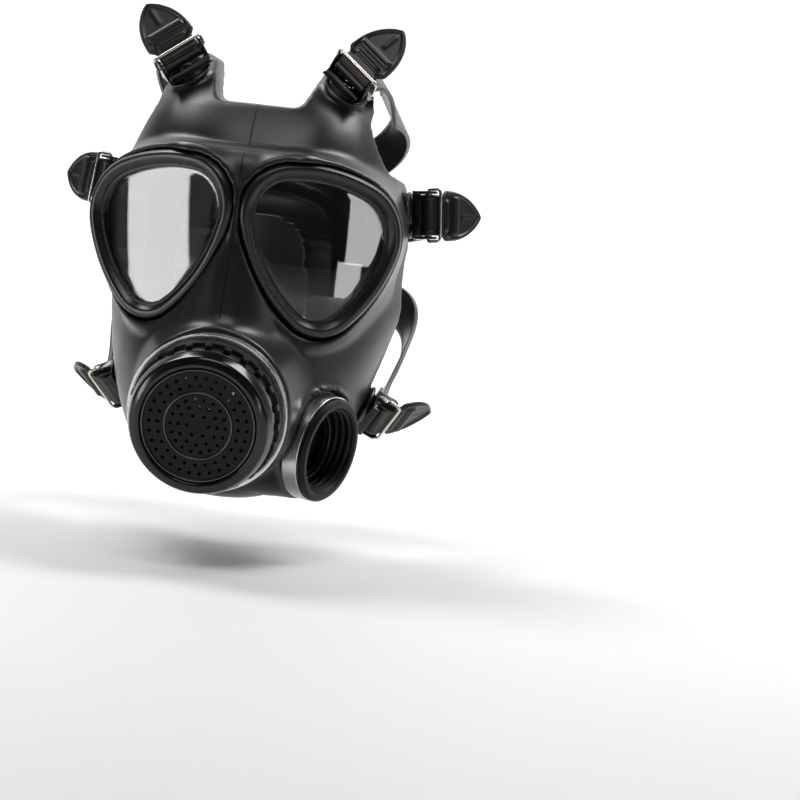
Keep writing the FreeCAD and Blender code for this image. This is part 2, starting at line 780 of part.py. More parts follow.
def build_valve_unit():
    gap = d.seat_gap
    half_band = d.front_band / 2
    turned(
        "front_clamp_band",
        (
            (d.boss_radius, -half_band),
            (d.boss_radius + d.band_gauge, -half_band),
            (d.boss_radius + d.band_gauge, half_band),
            (d.boss_radius, half_band),
        ),
        valve_place,
    )
    flange_end = d.boss_end + d.flange_thick
    housing = turned(
        "speech_housing",
        (
            (d.boss_bore - gap, -d.house_back),
            (d.boss_bore - gap, d.boss_end),
            (d.flange_radius, d.boss_end),
            (d.flange_radius, flange_end),
            (d.nose_radius, flange_end),
            (d.nose_radius, d.nose_end),
            (d.house_bore, d.nose_end),
            (d.house_bore, d.web_back + d.web_thick),
            (Dim(0, "0"), d.web_back + d.web_thick),
            (Dim(0, "0"), d.web_back),
            (d.house_bore - d.house_step, d.web_back),
            (d.house_bore - d.house_step, -d.house_back),
        ),
        valve_place,
    )
    windows = new_sketch(housing, "housing_windows")
    draw_circle(windows, Dim(0, "0"), d.window_offset, d.window_radius)
    draw_circle(windows, Dim(0, "0"), -d.window_offset, d.window_radius)
    pocketed(housing, windows, "housing_window_cut")

    ring = turned(
        "lock_ring",
        (
            (d.nose_radius + gap, flange_end),
            (d.ring_radius, flange_end),
            (d.ring_radius, flange_end + d.ring_deep),
            (d.ring_radius - d.ring_bevel, flange_end + d.ring_deep + d.ring_bevel),
            (d.nose_radius + gap, flange_end + d.ring_deep + d.ring_bevel),
        ),
        valve_place,
    )
    notch = new_sketch(ring, "notch_outline")
    draw_polygon(
        notch,
        (
            (d.ring_radius - d.notch_deep, -d.notch_wide / 2),
            (d.ring_radius + 2, -d.notch_wide / 2),
            (d.ring_radius + 2, d.notch_wide / 2),
            (d.ring_radius - d.notch_deep, d.notch_wide / 2),
        ),
    )
    notch_low = flange_end + d.notch_start
    notch.AttachmentOffset = Placement(Vector(0, 0, float(notch_low)), Rotation())
    notch.setExpression("AttachmentOffset.Base.z", notch_low.text)
    cut = ring.newObject("PartDesign::Pocket", "notch_cut")
    cut.Profile = notch
    cut.Type = "Length"
    cut.Length = float(d.ring_deep)
    cut.setExpression("Length", d.ring_deep.text)
    cut.Reversed = True
    doc.recompute()
    ring_pattern = ring.newObject("PartDesign::PolarPattern", "notch_pattern")
    ring_pattern.Originals = [cut]
    ring_pattern.Axis = (notch, ["N_Axis"])
    ring_pattern.Angle = 360
    ring_pattern.Occurrences = RING_NOTCHES
    ring.Tip = ring_pattern

    seal_start = d.nose_end
    seal_end = d.nose_end + d.seal_thick
    turned(
        "cover_seal",
        (
            (d.seal_inner, seal_start),
            (d.nose_radius - gap, seal_start),
            (d.nose_radius - gap, seal_end),
            (d.seal_inner, seal_end),
        ),
        valve_place,
    )
    plate_top = d.cover_front - d.grille_sink
    plate_low = plate_top - d.grille_thick
    turned(
        "outlet_cover",
        (
            (d.nose_radius + gap, d.cover_start),
            (d.cover_radius, d.cover_start),
            (d.cover_radius, d.cover_front - d.cover_round),
            (d.cover_radius - d.cover_round * 0.293, d.cover_front - d.cover_round * 0.293),
            (d.cover_radius - d.cover_round, d.cover_front),
            (d.grille_radius, d.cover_front),
            (d.grille_radius, plate_low),
            (d.grille_radius - d.grille_ledge, plate_low),
            (d.grille_radius - d.grille_ledge, plate_low - 1.0),
            (d.cover_lip, plate_low - 1.0),
            (d.cover_lip, seal_end),
            (d.nose_radius + gap, seal_end),
        ),
        valve_place,
    )
    rim = float(d.grille_radius) - float(gap) / 2
    outlines = [Part.makeCircle(rim)]
    for share, count, hole in GRILLE_ROWS:
        for k in range(count):
            turn = 2 * math.pi * k / count
            centre = Vector(math.cos(turn), math.sin(turn), 0) * (share * float(d.grille_radius))
            outlines.append(Part.makeCircle(hole, centre))
    wires = [Part.Wire(outline) for outline in outlines]
    face = Part.makeFace(wires, "Part::FaceMakerBullseye")
    plate = face.extrude(Vector(0, 0, float(d.grille_thick)))
    plate.translate(Vector(0, 0, float(plate_low)))
    feature("outlet_grille", plate, valve_place)

    foil_z = d.web_back + d.web_thick
    clamp = d.window_radius + d.clamp_ring_wide / 2
    up_place = valve_place.multiply(Placement(Vector(0, float(d.window_offset), 0), Rotation()))
    low_place = valve_place.multiply(Placement(Vector(0, -float(d.window_offset), 0), Rotation()))
    turned(
        "speech_diaphragm",
        (
            (Dim(0, "0"), foil_z),
            (clamp, foil_z),
            (clamp, foil_z + d.foil_thick),
            (Dim(0, "0"), foil_z + d.foil_thick),
        ),
        up_place,
    )
    turned(
        "diaphragm_ring",
        (
            (clamp - d.clamp_ring_wide, foil_z + d.foil_thick),
            (clamp, foil_z + d.foil_thick),
            (clamp, foil_z + d.foil_thick + d.clamp_ring_thick),
            (clamp - d.clamp_ring_wide, foil_z + d.foil_thick + d.clamp_ring_thick),
        ),
        up_place,
    )
    seat = spider_seat(float(d.window_radius) - 0.1, 1.6, float(d.web_back), float(d.web_thick))
    feature("exhale_seat", seat, low_place)
    feature("exhale_flap", flap(float(d.flap_radius), float(foil_z), float(d.flap_thick)), low_place)


def spider_seat(radius, rim, low, thick):
    """A valve seat: a ring with a hub on spokes and a hole for the flap's stem."""
    ring = cylinder(radius, low, low + thick).cut(cylinder(radius - rim, low - 1, low + thick + 1))
    spoke_thick = thick - SEAT_STEP
    hub = cylinder(SEAT_HUB, low, low + spoke_thick)
    spokes = []
    for k in range(SEAT_SPOKES):
        corner = Vector(0, -SEAT_SPOKE / 2, low)
        spoke = Part.makeBox(radius - rim / 2, SEAT_SPOKE, spoke_thick, corner)
        spoke.rotate(Vector(0, 0, 0), Vector(0, 0, 1), 360 / SEAT_SPOKES * k + 30)
        spokes.append(spoke)
    seat = ring.fuse([hub] + spokes)
    return seat.cut(cylinder(STEM_RADIUS + STEM_GAP, low - 1, low + thick + 1)).removeSplitter()


def flap(radius, low, thick):
    """A rubber mushroom valve: a thin disc with a stem that hangs through the seat's hub."""
    disc = cylinder(radius, low, low + thick)
    stem = cylinder(STEM_RADIUS, low - STEM_LONG, low + thick / 2)
    return disc.fuse(stem).removeSplitter()


# ---------------------------------------------------------------- filter connector


def build_port_unit():
    gap = float(d.seat_gap)
    floor = -float(d.thread_floor)
    back = -float(d.port_back)
    body = cylinder(float(d.port_bore) - gap, back, 0)
    body = body.fuse(cylinder(d.port_lip, -float(d.port_lip_thick), 0))
    body = body.cut(cylinder(d.thread_crest, floor, 1))
    body = body.cut(cylinder(d.thread_root, floor, floor + float(d.washer_thick)))
    body = body.cut(cylinder(d.air_radius, back - 1, 1))
    seat_radius = float(d.air_radius) + 2.5
    body = body.cut(cylinder(seat_radius, back - 1, floor - float(d.floor_thick)))
    lead_long = float(d.thread_lead)
    lead = Part.makeCone(float(d.thread_crest), float(d.thread_root), lead_long, Vector(0, 0, -lead_long))
    feature("filter_connector", body.cut(lead).removeSplitter(), port_place)
    band_top = -(d.port_lip_thick + 0.5)
    turned(
        "connector_band",
        (
            (d.port_boss, band_top - d.port_band),
            (d.port_boss + d.band_gauge, band_top - d.port_band),
            (d.port_boss + d.band_gauge, band_top),
            (d.port_boss, band_top),
        ),
        port_place,
    )
    turned(
        "connector_gasket",
        (
            (d.washer_inner, -d.thread_floor),
            (d.thread_root - 0.1, -d.thread_floor),
            (d.thread_root - 0.1, d.washer_thick - d.thread_floor),
            (d.washer_inner, d.washer_thick - d.thread_floor),
        ),
        port_place,
    )
    seat_thick = 2.0
    seat_low = floor - float(d.floor_thick) - seat_thick
    seat = spider_seat(seat_radius - gap, 2.6, seat_low, seat_thick)
    feature("inhale_seat", seat, port_place)
    leaf = flap(float(d.air_radius) + 0.3, 0.0, float(d.flap_thick))
    leaf = leaf.mirror(Vector(0, 0, 0), Vector(0, 0, 1))
    leaf.translate(Vector(0, 0, seat_low))
    feature("inhale_flap", leaf, port_place)


# ---------------------------------------------------------------- nose cup


def cup_section(half, tall, centre_z, y, narrow):
    """A closed egg outline, narrower at the top for the nose."""
    points = []
    count = 24
    for k in range(count):
        turn = 2 * math.pi * k / count
        up = math.sin(turn)
        squeeze = 1 - narrow * (1 + up) / 2
        points.append(Vector(half * squeeze * math.cos(turn), y, centre_z + tall * up))
    curve = Part.BSplineCurve()
    curve.interpolate(points, PeriodicFlag=True)
    return Part.Wire(curve.toShape())


def cup_loft(inset):
    start = valve_place.multVec(Vector(0, 0, -float(d.house_back) - 0.3))
    neck, wide, tall = float(d.cup_neck), float(d.cup_wide), float(d.cup_tall)
    edge, drop = -float(d.cup_edge), -float(d.cup_drop)
    y0 = start.y + 4.0
    rows = (
        (neck - inset, neck - inset, start.z + 1, y0, 0.0),
        (neck + 2.5 - inset, neck + 6 - inset, start.z + 5, y0 + 9, 0.08),
        (wide - 1.5 - inset, tall - 5 - inset, drop - 3, (y0 + edge) / 2 + 4, 0.3),
        (wide - inset, tall - inset, drop, edge, 0.42),
    )
    return Part.makeLoft([cup_section(*row) for row in rows], True, False), y0, edge


def build_nose_cup():
    wall = float(d.cup_wall)
    outer, y0, edge = cup_loft(0.0)
    inner, _, _ = cup_loft(wall)
    cup = outer.cut(inner)
    valve_r = float(d.cup_valve_radius)
    for sign in (1, -1):
        cup = cup.cut(placed(cylinder(valve_r, -10, 10), cup_valve_place(sign)))
    feature("nose_cup", max(cup.Solids, key=lambda s: s.Volume))
    for sign, side_name in ((1, "left"), (-1, "right")):
        place = cup_valve_place(sign)
        seat = spider_seat(valve_r - 0.1, 1.2, -1.0, 2.0)
        feature("cup_valve_seat_" + side_name, seat, place)
        leaf = flap(valve_r - 1.6, 0.0, 0.7)
        leaf = leaf.mirror(Vector(0, 0, 0), Vector(0, 0, 1))
        leaf.translate(Vector(0, 0, -1.0))
        feature("cup_valve_flap_" + side_name, leaf, place)


def cup_valve_place(sign):
    """A hole in the side of the nose cup, facing out."""
    out = Vector(sign * 0.93, -0.30, 0.20)
    centre = Vector(sign * 25.2, -63.0, -float(d.cup_valve_drop))
    return axes_placement(centre, Vector(0, 0, 1), out)


# ---------------------------------------------------------------- buckles and straps


def build_buckle(name, sign, tag):
    place = anchor_placement(name, sign)
    rise = float(d.button_rise)
    disc_top = rise + float(d.button_thick)
    button = cylinder(d.button_radius, rise, disc_top)
    round_edges = [e for e in button.Edges if abs(e.BoundBox.ZLength) < 1e-6]
    button = button.makeFillet(1.0, round_edges)
    shank = float(d.rivet_radius)
    feature("anchor_button_" + tag, button.cut(cylinder(shank, rise - 1, disc_top + 1)), place)

    plate_top = disc_top + float(d.plate_thick)
    long, ear_in, ear_t = float(d.plate_long), float(d.ear_inner), float(d.ear_thick)
    ear_out = ear_in + ear_t
    bar_z = plate_top + float(d.bar_height)
    plate = Part.makeBox(long, 2 * ear_out, float(d.plate_thick), Vector(-long / 2, -ear_out, disc_top))
    parts = [plate]
    ear_w = float(d.ear_wide)
    for low in (-ear_out, ear_in):
        ear = Part.makeBox(ear_w, ear_t, bar_z - disc_top, Vector(-ear_w / 2, low, disc_top))
        cap = Part.makeCylinder(ear_w / 2, ear_t, Vector(0, low, bar_z), Vector(0, 1, 0))
        parts += [ear, cap]
    parts.append(
        Part.makeCylinder(float(d.bar_radius), 2 * ear_out, Vector(0, -ear_out, bar_z), Vector(0, 1, 0))
    )
    guard_corner = Vector(-long / 2, -ear_in, disc_top)
    guard = Part.makeBox(float(d.plate_thick), 2 * ear_in, float(d.guard_height), guard_corner)
    parts.append(guard)
    frame = parts[0].fuse(parts[1:])
    frame = frame.cut(cylinder(shank, disc_top - 1, plate_top + 1))
    pin = float(d.wire_radius) + float(d.wire_gap)
    for low in (-ear_out - 1, ear_out - 0.7):
        frame = frame.cut(Part.makeCylinder(pin, 1.7, Vector(0, low, bar_z), Vector(0, 1, 0)))
    feature("buckle_frame_" + tag, frame.removeSplitter(), place)

    build_keeper(tag, place, bar_z, ear_out)
    build_tail(tag, place, bar_z)
    return place, bar_z, plate_top, shank, disc_top


def tail_axes():
    """Directions in the buckle's X-Z plane: along the tail, and out of its front face."""
    lean = rad(d.tail_lean)
    along = Vector(math.sin(lean), 0, math.cos(lean))
    front = Vector(-math.cos(lean), 0, math.sin(lean))
    return along, front


def build_keeper(tag, place, bar_z, ear_out):
    """The bent wire that lies across the front of the strap and turns in the buckle's ears."""
    along, front = tail_axes()
    wire_r = float(d.wire_radius)
    centre = Vector(0, 0, bar_z)
    off = float(d.bar_radius) + float(d.bar_gap) + float(d.strap_thick) + wire_r + 0.15
    reach = centre + front * off + along * float(d.wire_reach)
    arm_y = ear_out + wire_r + 0.3
    corners = []
    for side in (-1, 1):
        pin_end = centre + Vector(0, side * (ear_out - 0.6), 0)
        elbow = centre + Vector(0, side * arm_y, 0)
        crown = reach + Vector(0, side * arm_y, 0)
        corners.append((pin_end, elbow, crown))
    path_points = [*corners[0], *reversed(corners[1])]
    pieces = []
    for a, b in zip(path_points, path_points[1:]):
        pieces.append(Part.makeCylinder(wire_r, (b - a).Length, a, b - a))
    for spot in path_points[1:-1]:
        pieces.append(Part.makeSphere(wire_r, spot))
    feature("keeper_wire_" + tag, pieces[0].fuse(pieces[1:]), place)


def tail_start(bar_z):
    """Middle of the strap where it leaves the bar."""
    _, front = tail_axes()
    off = float(d.bar_radius) + float(d.bar_gap) + float(d.strap_thick) / 2
    return Vector(0, 0, bar_z) + front * off


def build_tail(tag, place, bar_z):
    """The strap's free end: a leaf with a raised border and two grip ribs across it."""
    along, front = tail_axes()
    start = tail_start(bar_z)
    leaf_place = axes_placement(start, along, front)
    long, half_root, half_wide = float(d.tail_long), float(d.strap_wide) / 2, float(d.tail_wide) / 2
    tip = 3.0
    neck = float(d.ear_wide) / 2 + 1.0
    root = Vector(0, half_root, 0)
    upper = [
        Vector(neck, half_root, 0),
        Vector(neck + 3.5, half_wide, 0),
        Vector(0.5 * long, half_wide * 0.93, 0),
        Vector(0.75 * long, half_wide * 0.56, 0),
        Vector(long - tip * 0.5, tip * 0.8, 0),
        Vector(long, 0, 0),
    ]
    curve_points = upper + [Vector(p.x, -p.y, 0) for p in reversed(upper[:-1])]
    curve = Part.BSplineCurve()
    curve.interpolate(curve_points)
    low_root = Vector(0, -half_root, 0)
    sides = [
        Part.makeLine(root, curve_points[0]),
        curve.toShape(),
        Part.makeLine(curve_points[-1], low_root),
        Part.makeLine(low_root, root),
    ]
    wire = Part.Wire(sides)
    thick = float(d.strap_thick)
    leaf = Part.Face(wire).extrude(Vector(0, 0, thick))
    leaf.translate(Vector(0, 0, -thick / 2))
    ribs = []
    for x, rib_half, radius in ((8.5, 8.0, 1.5), (14.0, 10.0, 2.0)):
        rib = Part.makeCylinder(radius, 2 * rib_half, Vector(x, -rib_half, thick / 2 - 0.3), Vector(0, 1, 0))
        ribs.append(rib.common(Part.makeBox(60, 60, 10, Vector(-10, -30, -thick / 2 + 0.2))))
    leaf = leaf.fuse(ribs).removeSplitter()
    feature("strap_tail_" + tag, leaf, place.multiply(leaf_place))


def strap_hook(bar_z):
    """The strap's turn round the bar and its lower run, in the buckle's frame."""
    along, front = tail_axes()
    inner = float(d.bar_radius) + float(d.bar_gap)
    outer = inner + float(d.strap_thick)
    centre = Vector(0, 0, bar_z)
    run = float(d.run_out)
    down = Vector(0, 0, -1)
    side_way = Vector(-1, 0, 0)
    edges = [
        Part.makeLine(centre + down * inner + Vector(run, 0, 0), centre + down * inner),
        Part.Arc(centre + down * inner, centre + side_way * inner, centre + front * inner).toShape(),
        Part.makeLine(centre + front * inner, centre + front * outer),
        Part.Arc(centre + front * outer, centre + side_way * outer, centre + down * outer).toShape(),
        Part.makeLine(centre + down * outer, centre + down * outer + Vector(run, 0, 0)),
        Part.makeLine(centre + down * outer + Vector(run, 0, 0), centre + down * inner + Vector(run, 0, 0)),
    ]
    wide = float(d.strap_wide)
    hook = Part.Face(Part.Wire(edges)).extrude(Vector(0, wide, 0))
    hook.translate(Vector(0, -wide / 2, 0))
    return hook


def strap_stations(name, sign, place, bar_z):
    """Centre, normal and width direction of the strap at stations from the buckle to the pad."""
    _, _, landing, way = next(a for a in ANCHORS if a[0] == name)
    lower = bar_z - float(d.bar_radius) - float(d.bar_gap) - float(d.strap_thick) / 2
    turn = place.Rotation
    start = place.multVec(Vector(float(d.run_out), 0, lower))
    heading = turn.multVec(Vector(1, 0, 0))
    normal = turn.multVec(Vector(0, 0, 1))
    end = pad_landing(*landing)
    end = Vector(sign * end.x, end.y, end.z)
    lift = float(d.pad_lift) + float(d.strap_thick) / 2
    stations = [(start, normal)]
    steps = 9
    middle = Vector(sign * way[0], way[1], way[2])
    lead = start + heading * ((end - start).Length * STRAP_LEAD)
    pull = (middle * 8 - start - lead * 3 - end) * (1 / 3)
    top_lift = float(d.pad_lift) + float(d.pad_thick) + float(d.strap_thick) / 2 - 0.15
    for k in range(1, steps + 1):
        share = k / steps
        rest = 1 - share
        spot = start * rest**3 + lead * (3 * share * rest**2)
        spot = spot + pull * (3 * share**2 * rest) + end * share**3
        spot = on_head(spot, lift + (top_lift - lift) * share)
        blend = min(1.0, share * 3)
        stations.append((spot, normal * (1 - blend) + head_normal(spot) * blend))
    return stations


def strap_route(name, sign, place, bar_z):
    stations = strap_stations(name, sign, place, bar_z)
    half, thick = float(d.strap_wide) / 2, float(d.strap_thick) / 2
    wires = []
    last = len(stations) - 1
    for k, (spot, normal) in enumerate(stations):
        ahead = stations[min(k + 1, last)][0] - stations[max(k - 1, 0)][0]
        if k == 0:
            ahead = place.Rotation.multVec(Vector(1, 0, 0))
        across = normal.cross(ahead).normalize()
        up = ahead.cross(across).normalize()
        corners = [
            spot + across * half + up * thick,
            spot - across * half + up * thick,
            spot - across * half - up * thick,
            spot + across * half - up * thick,
        ]
        wires.append(Part.makePolygon(corners + corners[:1]))
    return Part.makeLoft(wires, True, True)


def build_harness():
    rivets = []
    pad = pad_solid()
    for sign, side_name in ((1, "left"), (-1, "right")):
        for name, *_ in ANCHORS:
            tag = name + "_" + side_name
            place, bar_z, plate_top, shank, disc_top = build_buckle(name, sign, tag)
            rise = float(d.button_rise)
            rivet = cylinder(shank, rise, plate_top)
            head = cylinder(d.rivet_head, plate_top, plate_top + float(d.rivet_rise))
            rivets.append(placed(rivet.fuse(head), place))
            hook = placed(strap_hook(bar_z), place)
            route = strap_route(name, sign, place, bar_z)
            feature("strap_" + tag, hook.fuse(route).cut(pad).removeSplitter())
    feature("buckle_rivets", Part.makeCompound(rivets))
    feature("head_pad", pad)


def head_form(lift):
    """The head form grown by lift, as a solid."""
    ball = Part.makeSphere(1.0)
    scale = FreeCAD.Matrix()
    scale.scale(float(d.head_half) + lift, float(d.head_deep) + lift, float(d.head_tall) + lift)
    form = ball.transformGeometry(scale)
    form.translate(Vector(0, float(d.head_back), 0))
    return form


def pad_solid():
    low = float(d.pad_lift)
    shell = head_form(low + float(d.pad_thick)).cut(head_form(low))
    wide, tall, mid = float(d.pad_wide) / 2, float(d.pad_tall) / 2, float(d.pad_rise)
    outline = [
        (wide * 0.42, tall), (wide * 0.82, tall * 0.62), (wide, 0.0), (wide * 0.82, -tall * 0.62),
        (wide * 0.42, -tall), (-wide * 0.42, -tall), (-wide * 0.82, -tall * 0.62), (-wide, 0.0),
        (-wide * 0.82, tall * 0.62), (-wide * 0.42, tall),
    ]
    points = [Vector(x, 60, mid + z) for x, z in outline]
    curve = Part.BSplineCurve()
    curve.interpolate(points, PeriodicFlag=True)
    plug = Part.Face(Part.Wire(curve.toShape())).extrude(Vector(0, 120, 0))
    pad = shell.common(plug)
    return max(pad.Solids, key=lambda s: s.Volume)


# ---------------------------------------------------------------- build, check and write

build_facepiece()
for lens_sign, lens_name in ((1, "left"), (-1, "right")):
    build_eyepiece(lens_sign, lens_name)
build_valve_unit()
build_port_unit()
build_nose_cup()
build_harness()
doc.recompute()

failed = [o.Label for o in doc.Objects if "Invalid" in o.State or "Error" in o.State]
if failed:
    raise RuntimeError("objects failed: " + ", ".join(failed))
faulty = []
for obj in made:
    shape = obj.Shape
    if shape.isNull() or not shape.isValid() or not shape.Solids:
        faulty.append(obj.Label)
if faulty:
    raise RuntimeError("no valid solid: " + ", ".join(faulty))
os.makedirs("parts", exist_ok=True)
for obj in made:
    obj.Shape.exportStep(os.path.join("parts", obj.Label + ".step"))
print(len(made), "sub-parts written")
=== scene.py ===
import json
import math
import bmesh
import bpy
import numpy as np
from mathutils import Matrix, Vector


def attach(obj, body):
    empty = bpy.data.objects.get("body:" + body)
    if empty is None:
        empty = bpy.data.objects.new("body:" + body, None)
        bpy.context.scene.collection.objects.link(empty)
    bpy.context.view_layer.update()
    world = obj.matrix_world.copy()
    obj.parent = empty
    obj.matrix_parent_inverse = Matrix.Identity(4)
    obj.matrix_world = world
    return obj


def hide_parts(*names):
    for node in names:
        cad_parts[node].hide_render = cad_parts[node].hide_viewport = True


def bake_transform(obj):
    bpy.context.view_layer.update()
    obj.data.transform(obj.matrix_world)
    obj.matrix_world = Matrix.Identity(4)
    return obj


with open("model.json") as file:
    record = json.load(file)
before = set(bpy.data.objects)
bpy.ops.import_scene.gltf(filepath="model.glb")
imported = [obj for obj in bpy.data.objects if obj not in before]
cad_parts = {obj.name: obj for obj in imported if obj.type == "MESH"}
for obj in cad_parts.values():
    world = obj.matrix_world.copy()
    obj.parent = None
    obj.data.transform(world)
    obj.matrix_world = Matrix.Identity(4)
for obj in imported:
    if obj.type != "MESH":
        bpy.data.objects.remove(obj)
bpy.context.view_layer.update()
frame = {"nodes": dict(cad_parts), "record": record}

mm = 0.001  # every length below is in millimetres until a mesh is made
up = np.array([0.0, 0.0, 1.0])
sides = {"left": 1, "right": -1}
anchorNames = ("top", "temple", "lower")
joints = {j["name"]: j for j in frame["record"]["behaviour"]["joints"]}
mounts = {m["name"]: m for m in frame["record"]["mounts"]}


# frames and small vector work

def unit(v):
    v = np.asarray(v, float)
    return v / np.linalg.norm(v)


def makeFrame(origin, xAxis, zAxis):
    z = unit(zAxis)
    y = unit(np.cross(z, xAxis))
    m = np.eye(4)
    m[:3, 0], m[:3, 1], m[:3, 2], m[:3, 3] = np.cross(y, z), y, z, origin
    return m


def place(points, m):
    return np.asarray(points, float) @ m[:3, :3].T + m[:3, 3]


def smoothStep(low, high, v):
    t = np.clip((v - low) / (high - low), 0, 1)
    return t * t * (3 - 2 * t)


def curveThrough(points, steps):
    p = np.asarray(points, float)  # a smooth line through given points
    p = np.vstack([2 * p[0] - p[1], p, 2 * p[-1] - p[-2]])
    out = []
    for a, b, c, e in zip(p, p[1:], p[2:], p[3:]):
        for t in np.arange(steps) / steps:
            cubic = (2 * a - 5 * b + 4 * c - e) * t**2 + (3 * b - a - 3 * c + e) * t**3
            out.append(0.5 * (2 * b + (c - a) * t + cubic))
    return np.array(out + [p[-2]])


# meshes

def linked(name, mesh):
    obj = bpy.data.objects.new(name, mesh)
    bpy.context.scene.collection.objects.link(obj)
    return obj


def newObject(name, points, faces, material, merge=0.0):
    mesh = bpy.data.meshes.new(name)
    mesh.from_pydata((np.asarray(points) * mm).tolist(), [], [tuple(int(i) for i in f) for f in faces])
    mesh.update()
    if merge:
        cleanMesh(mesh, merge)
    mesh.shade_smooth()
    mesh.materials.append(material)
    return linked(name, mesh)


def cleanMesh(mesh, distance):
    b = bmesh.new()
    b.from_mesh(mesh)
    bmesh.ops.remove_doubles(b, verts=b.verts, dist=distance * mm)
    bmesh.ops.dissolve_degenerate(b, edges=b.edges, dist=1e-7)
    bmesh.ops.recalc_face_normals(b, faces=b.faces)
    b.to_mesh(mesh)
    b.free()


def gridFaces(rows, cols, closeRows=False, closeCols=False):
    faces = []
    for i in range(rows if closeRows else rows - 1):
        low, high = i * cols, ((i + 1) % rows) * cols
        for j in range(cols if closeCols else cols - 1):
            k = (j + 1) % cols
            faces.append((low + j, low + k, high + k, high + j))
    return faces


def turned2(v, t):
    return np.array([v[0] * math.cos(t) - v[1] * math.sin(t), v[0] * math.sin(t) + v[1] * math.cos(t)])


def roundedOutline(points, radius, steps=5):
    p = [np.array(q[:2], float) for q in points]  # a point's third value is the radius of its own corner
    out = []
    for i, b in enumerate(p):
        a, c = p[i - 1], p[(i + 1) % len(p)]
        r = points[i][2] if len(points[i]) > 2 else radius
        ab, cb = a - b, c - b
        la, lc = np.linalg.norm(ab), np.linalg.norm(cb)
        ab, cb = ab / la, cb / lc
        angle = math.acos(np.clip(ab @ cb, -1, 1))
        if r <= 0 or angle > math.pi - 0.02:
            out.append(b)
            continue
        cut = min(r / math.tan(angle / 2), la * 0.49, lc * 0.49)
        r = cut * math.tan(angle / 2)
        mid = b + unit(ab + cb) * (r / math.sin(angle / 2))
        start, end = b + ab * cut - mid, b + cb * cut - mid
        turn = math.atan2(start[0] * end[1] - start[1] * end[0], start @ end)
        out += [mid + turned2(start, turn * k / steps) for k in range(steps + 1)]
    return np.array(out)


def lathe(name, outline, radius, m, material, turns=96, steps=4):
    r, z = roundedOutline(outline, radius, steps).T
    r = np.maximum(r, 0)
    angles = [2 * math.pi * k / turns for k in range(turns)]
    points = np.concatenate([np.stack([r * math.cos(a), r * math.sin(a), z], 1) for a in angles])
    return newObject(name, place(points, m), gridFaces(turns, len(r), True, True), material, merge=1e-4)


def rowUnits(v):
    return v / np.maximum(np.linalg.norm(v, axis=1), 1e-9)[:, None]


def sweep(name, path, across, section, material):
    path = np.asarray(path, float)  # across is the section's first direction at each point of the path
    n, count = len(path), len(section)
    ahead = np.roll(path, -1, 0) - np.roll(path, 1, 0)
    ahead[0], ahead[-1] = path[1] - path[0], path[-1] - path[-2]
    ahead = rowUnits(ahead)
    across = rowUnits(across - ahead * np.sum(across * ahead, 1)[:, None])
    above = np.cross(ahead, across)
    points = path[:, None] + section[None, :, :1] * across[:, None] + section[None, :, 1:] * above[:, None]
    faces = gridFaces(n, count, False, True)
    faces.append(tuple(range(count))[::-1])
    faces.append(tuple((n - 1) * count + k for k in range(count)))
    return newObject(name, points.reshape(-1, 3), faces, material, merge=1e-4)


def join(name, parts):
    points, faces, coats, slots = [], [], [], []
    for part in parts:
        start = len(points)
        points += [v.co[:] for v in part.data.vertices]
        coats += [m for m in part.data.materials if m not in coats]
        for f in part.data.polygons:
            faces.append([start + i for i in f.vertices])
            slots.append(coats.index(part.data.materials[f.material_index]))
    mesh = bpy.data.meshes.new(name)
    mesh.from_pydata(points, [], faces)
    for m in coats:
        mesh.materials.append(m)
    mesh.polygons.foreach_set("material_index", slots)
    mesh.update()
    mesh.shade_smooth()
    for part in parts:
        bpy.data.objects.remove(part)
    return linked(name, mesh)


def sharpen(obj, angle=35):
    mod = obj.modifiers.new("edges", "EDGE_SPLIT")
    mod.split_angle = math.radians(angle)
    return bake(obj)


def bake(obj):
    bpy.context.view_layer.update()
    deps = bpy.context.evaluated_depsgraph_get()
    mesh = bpy.data.meshes.new_from_object(obj.evaluated_get(deps), depsgraph=deps)
    obj.modifiers.clear()
    obj.data = mesh
    return obj


def cutWith(obj, plug):
    mod = obj.modifiers.new("cut", "BOOLEAN")
    mod.object, mod.solver, mod.operation = plug, "EXACT", "DIFFERENCE"
    bake(obj)
    bpy.data.objects.remove(plug)


def settle(obj, body, slotName, *nodes):
    if nodes:
        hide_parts(*nodes)
    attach(obj, body)
    return obj


# shader effects that several materials share

def newTree(name, kind, inputs, outputs):
    tree = bpy.data.node_groups.new(name, kind)
    for way, sockets in (("INPUT", inputs), ("OUTPUT", outputs)):
        for socket, sort in sockets.items():
            tree.interface.new_socket(socket, in_out=way, socket_type="NodeSocket" + sort)
    return tree, tree.nodes.new("NodeGroupInput").outputs, tree.nodes.new("NodeGroupOutput").inputs


def feed(tree, socket, value):
    if isinstance(value, bpy.types.NodeSocket):
        tree.links.new(value, socket)
    else:
        socket.default_value = value


def addNode(tree, kind, **values):
    node = tree.nodes.new(kind)
    for name, value in values.items():
        feed(tree, node.inputs[name.replace("_", " ")], value)
    return node


def mathNode(tree, kind, a, b):
    node = tree.nodes.new("ShaderNodeMath")
    node.operation = kind
    feed(tree, node.inputs[0], a)
    feed(tree, node.inputs[1], b)
    return node.outputs[0]


def noiseNode(tree, vector, scale, detail, rough=0.5):
    node = addNode(tree, "ShaderNodeTexNoise", Vector=vector, Scale=scale, Detail=detail, Roughness=rough)
    return node.outputs["Fac"]


def rangeNode(tree, value, low, high):
    node = addNode(tree, "ShaderNodeMapRange", Value=value, From_Min=0.3, From_Max=0.7, To_Min=low,
                   To_Max=high)
    return node.outputs["Result"]


def mixNode(tree, share, a, b):
    node = tree.nodes.new("ShaderNodeMix")
    node.data_type = "RGBA"
    feed(tree, node.inputs["Factor"], share)
    feed(tree, node.inputs["A"], a)
    feed(tree, node.inputs["B"], b)
    return node.outputs["Result"]


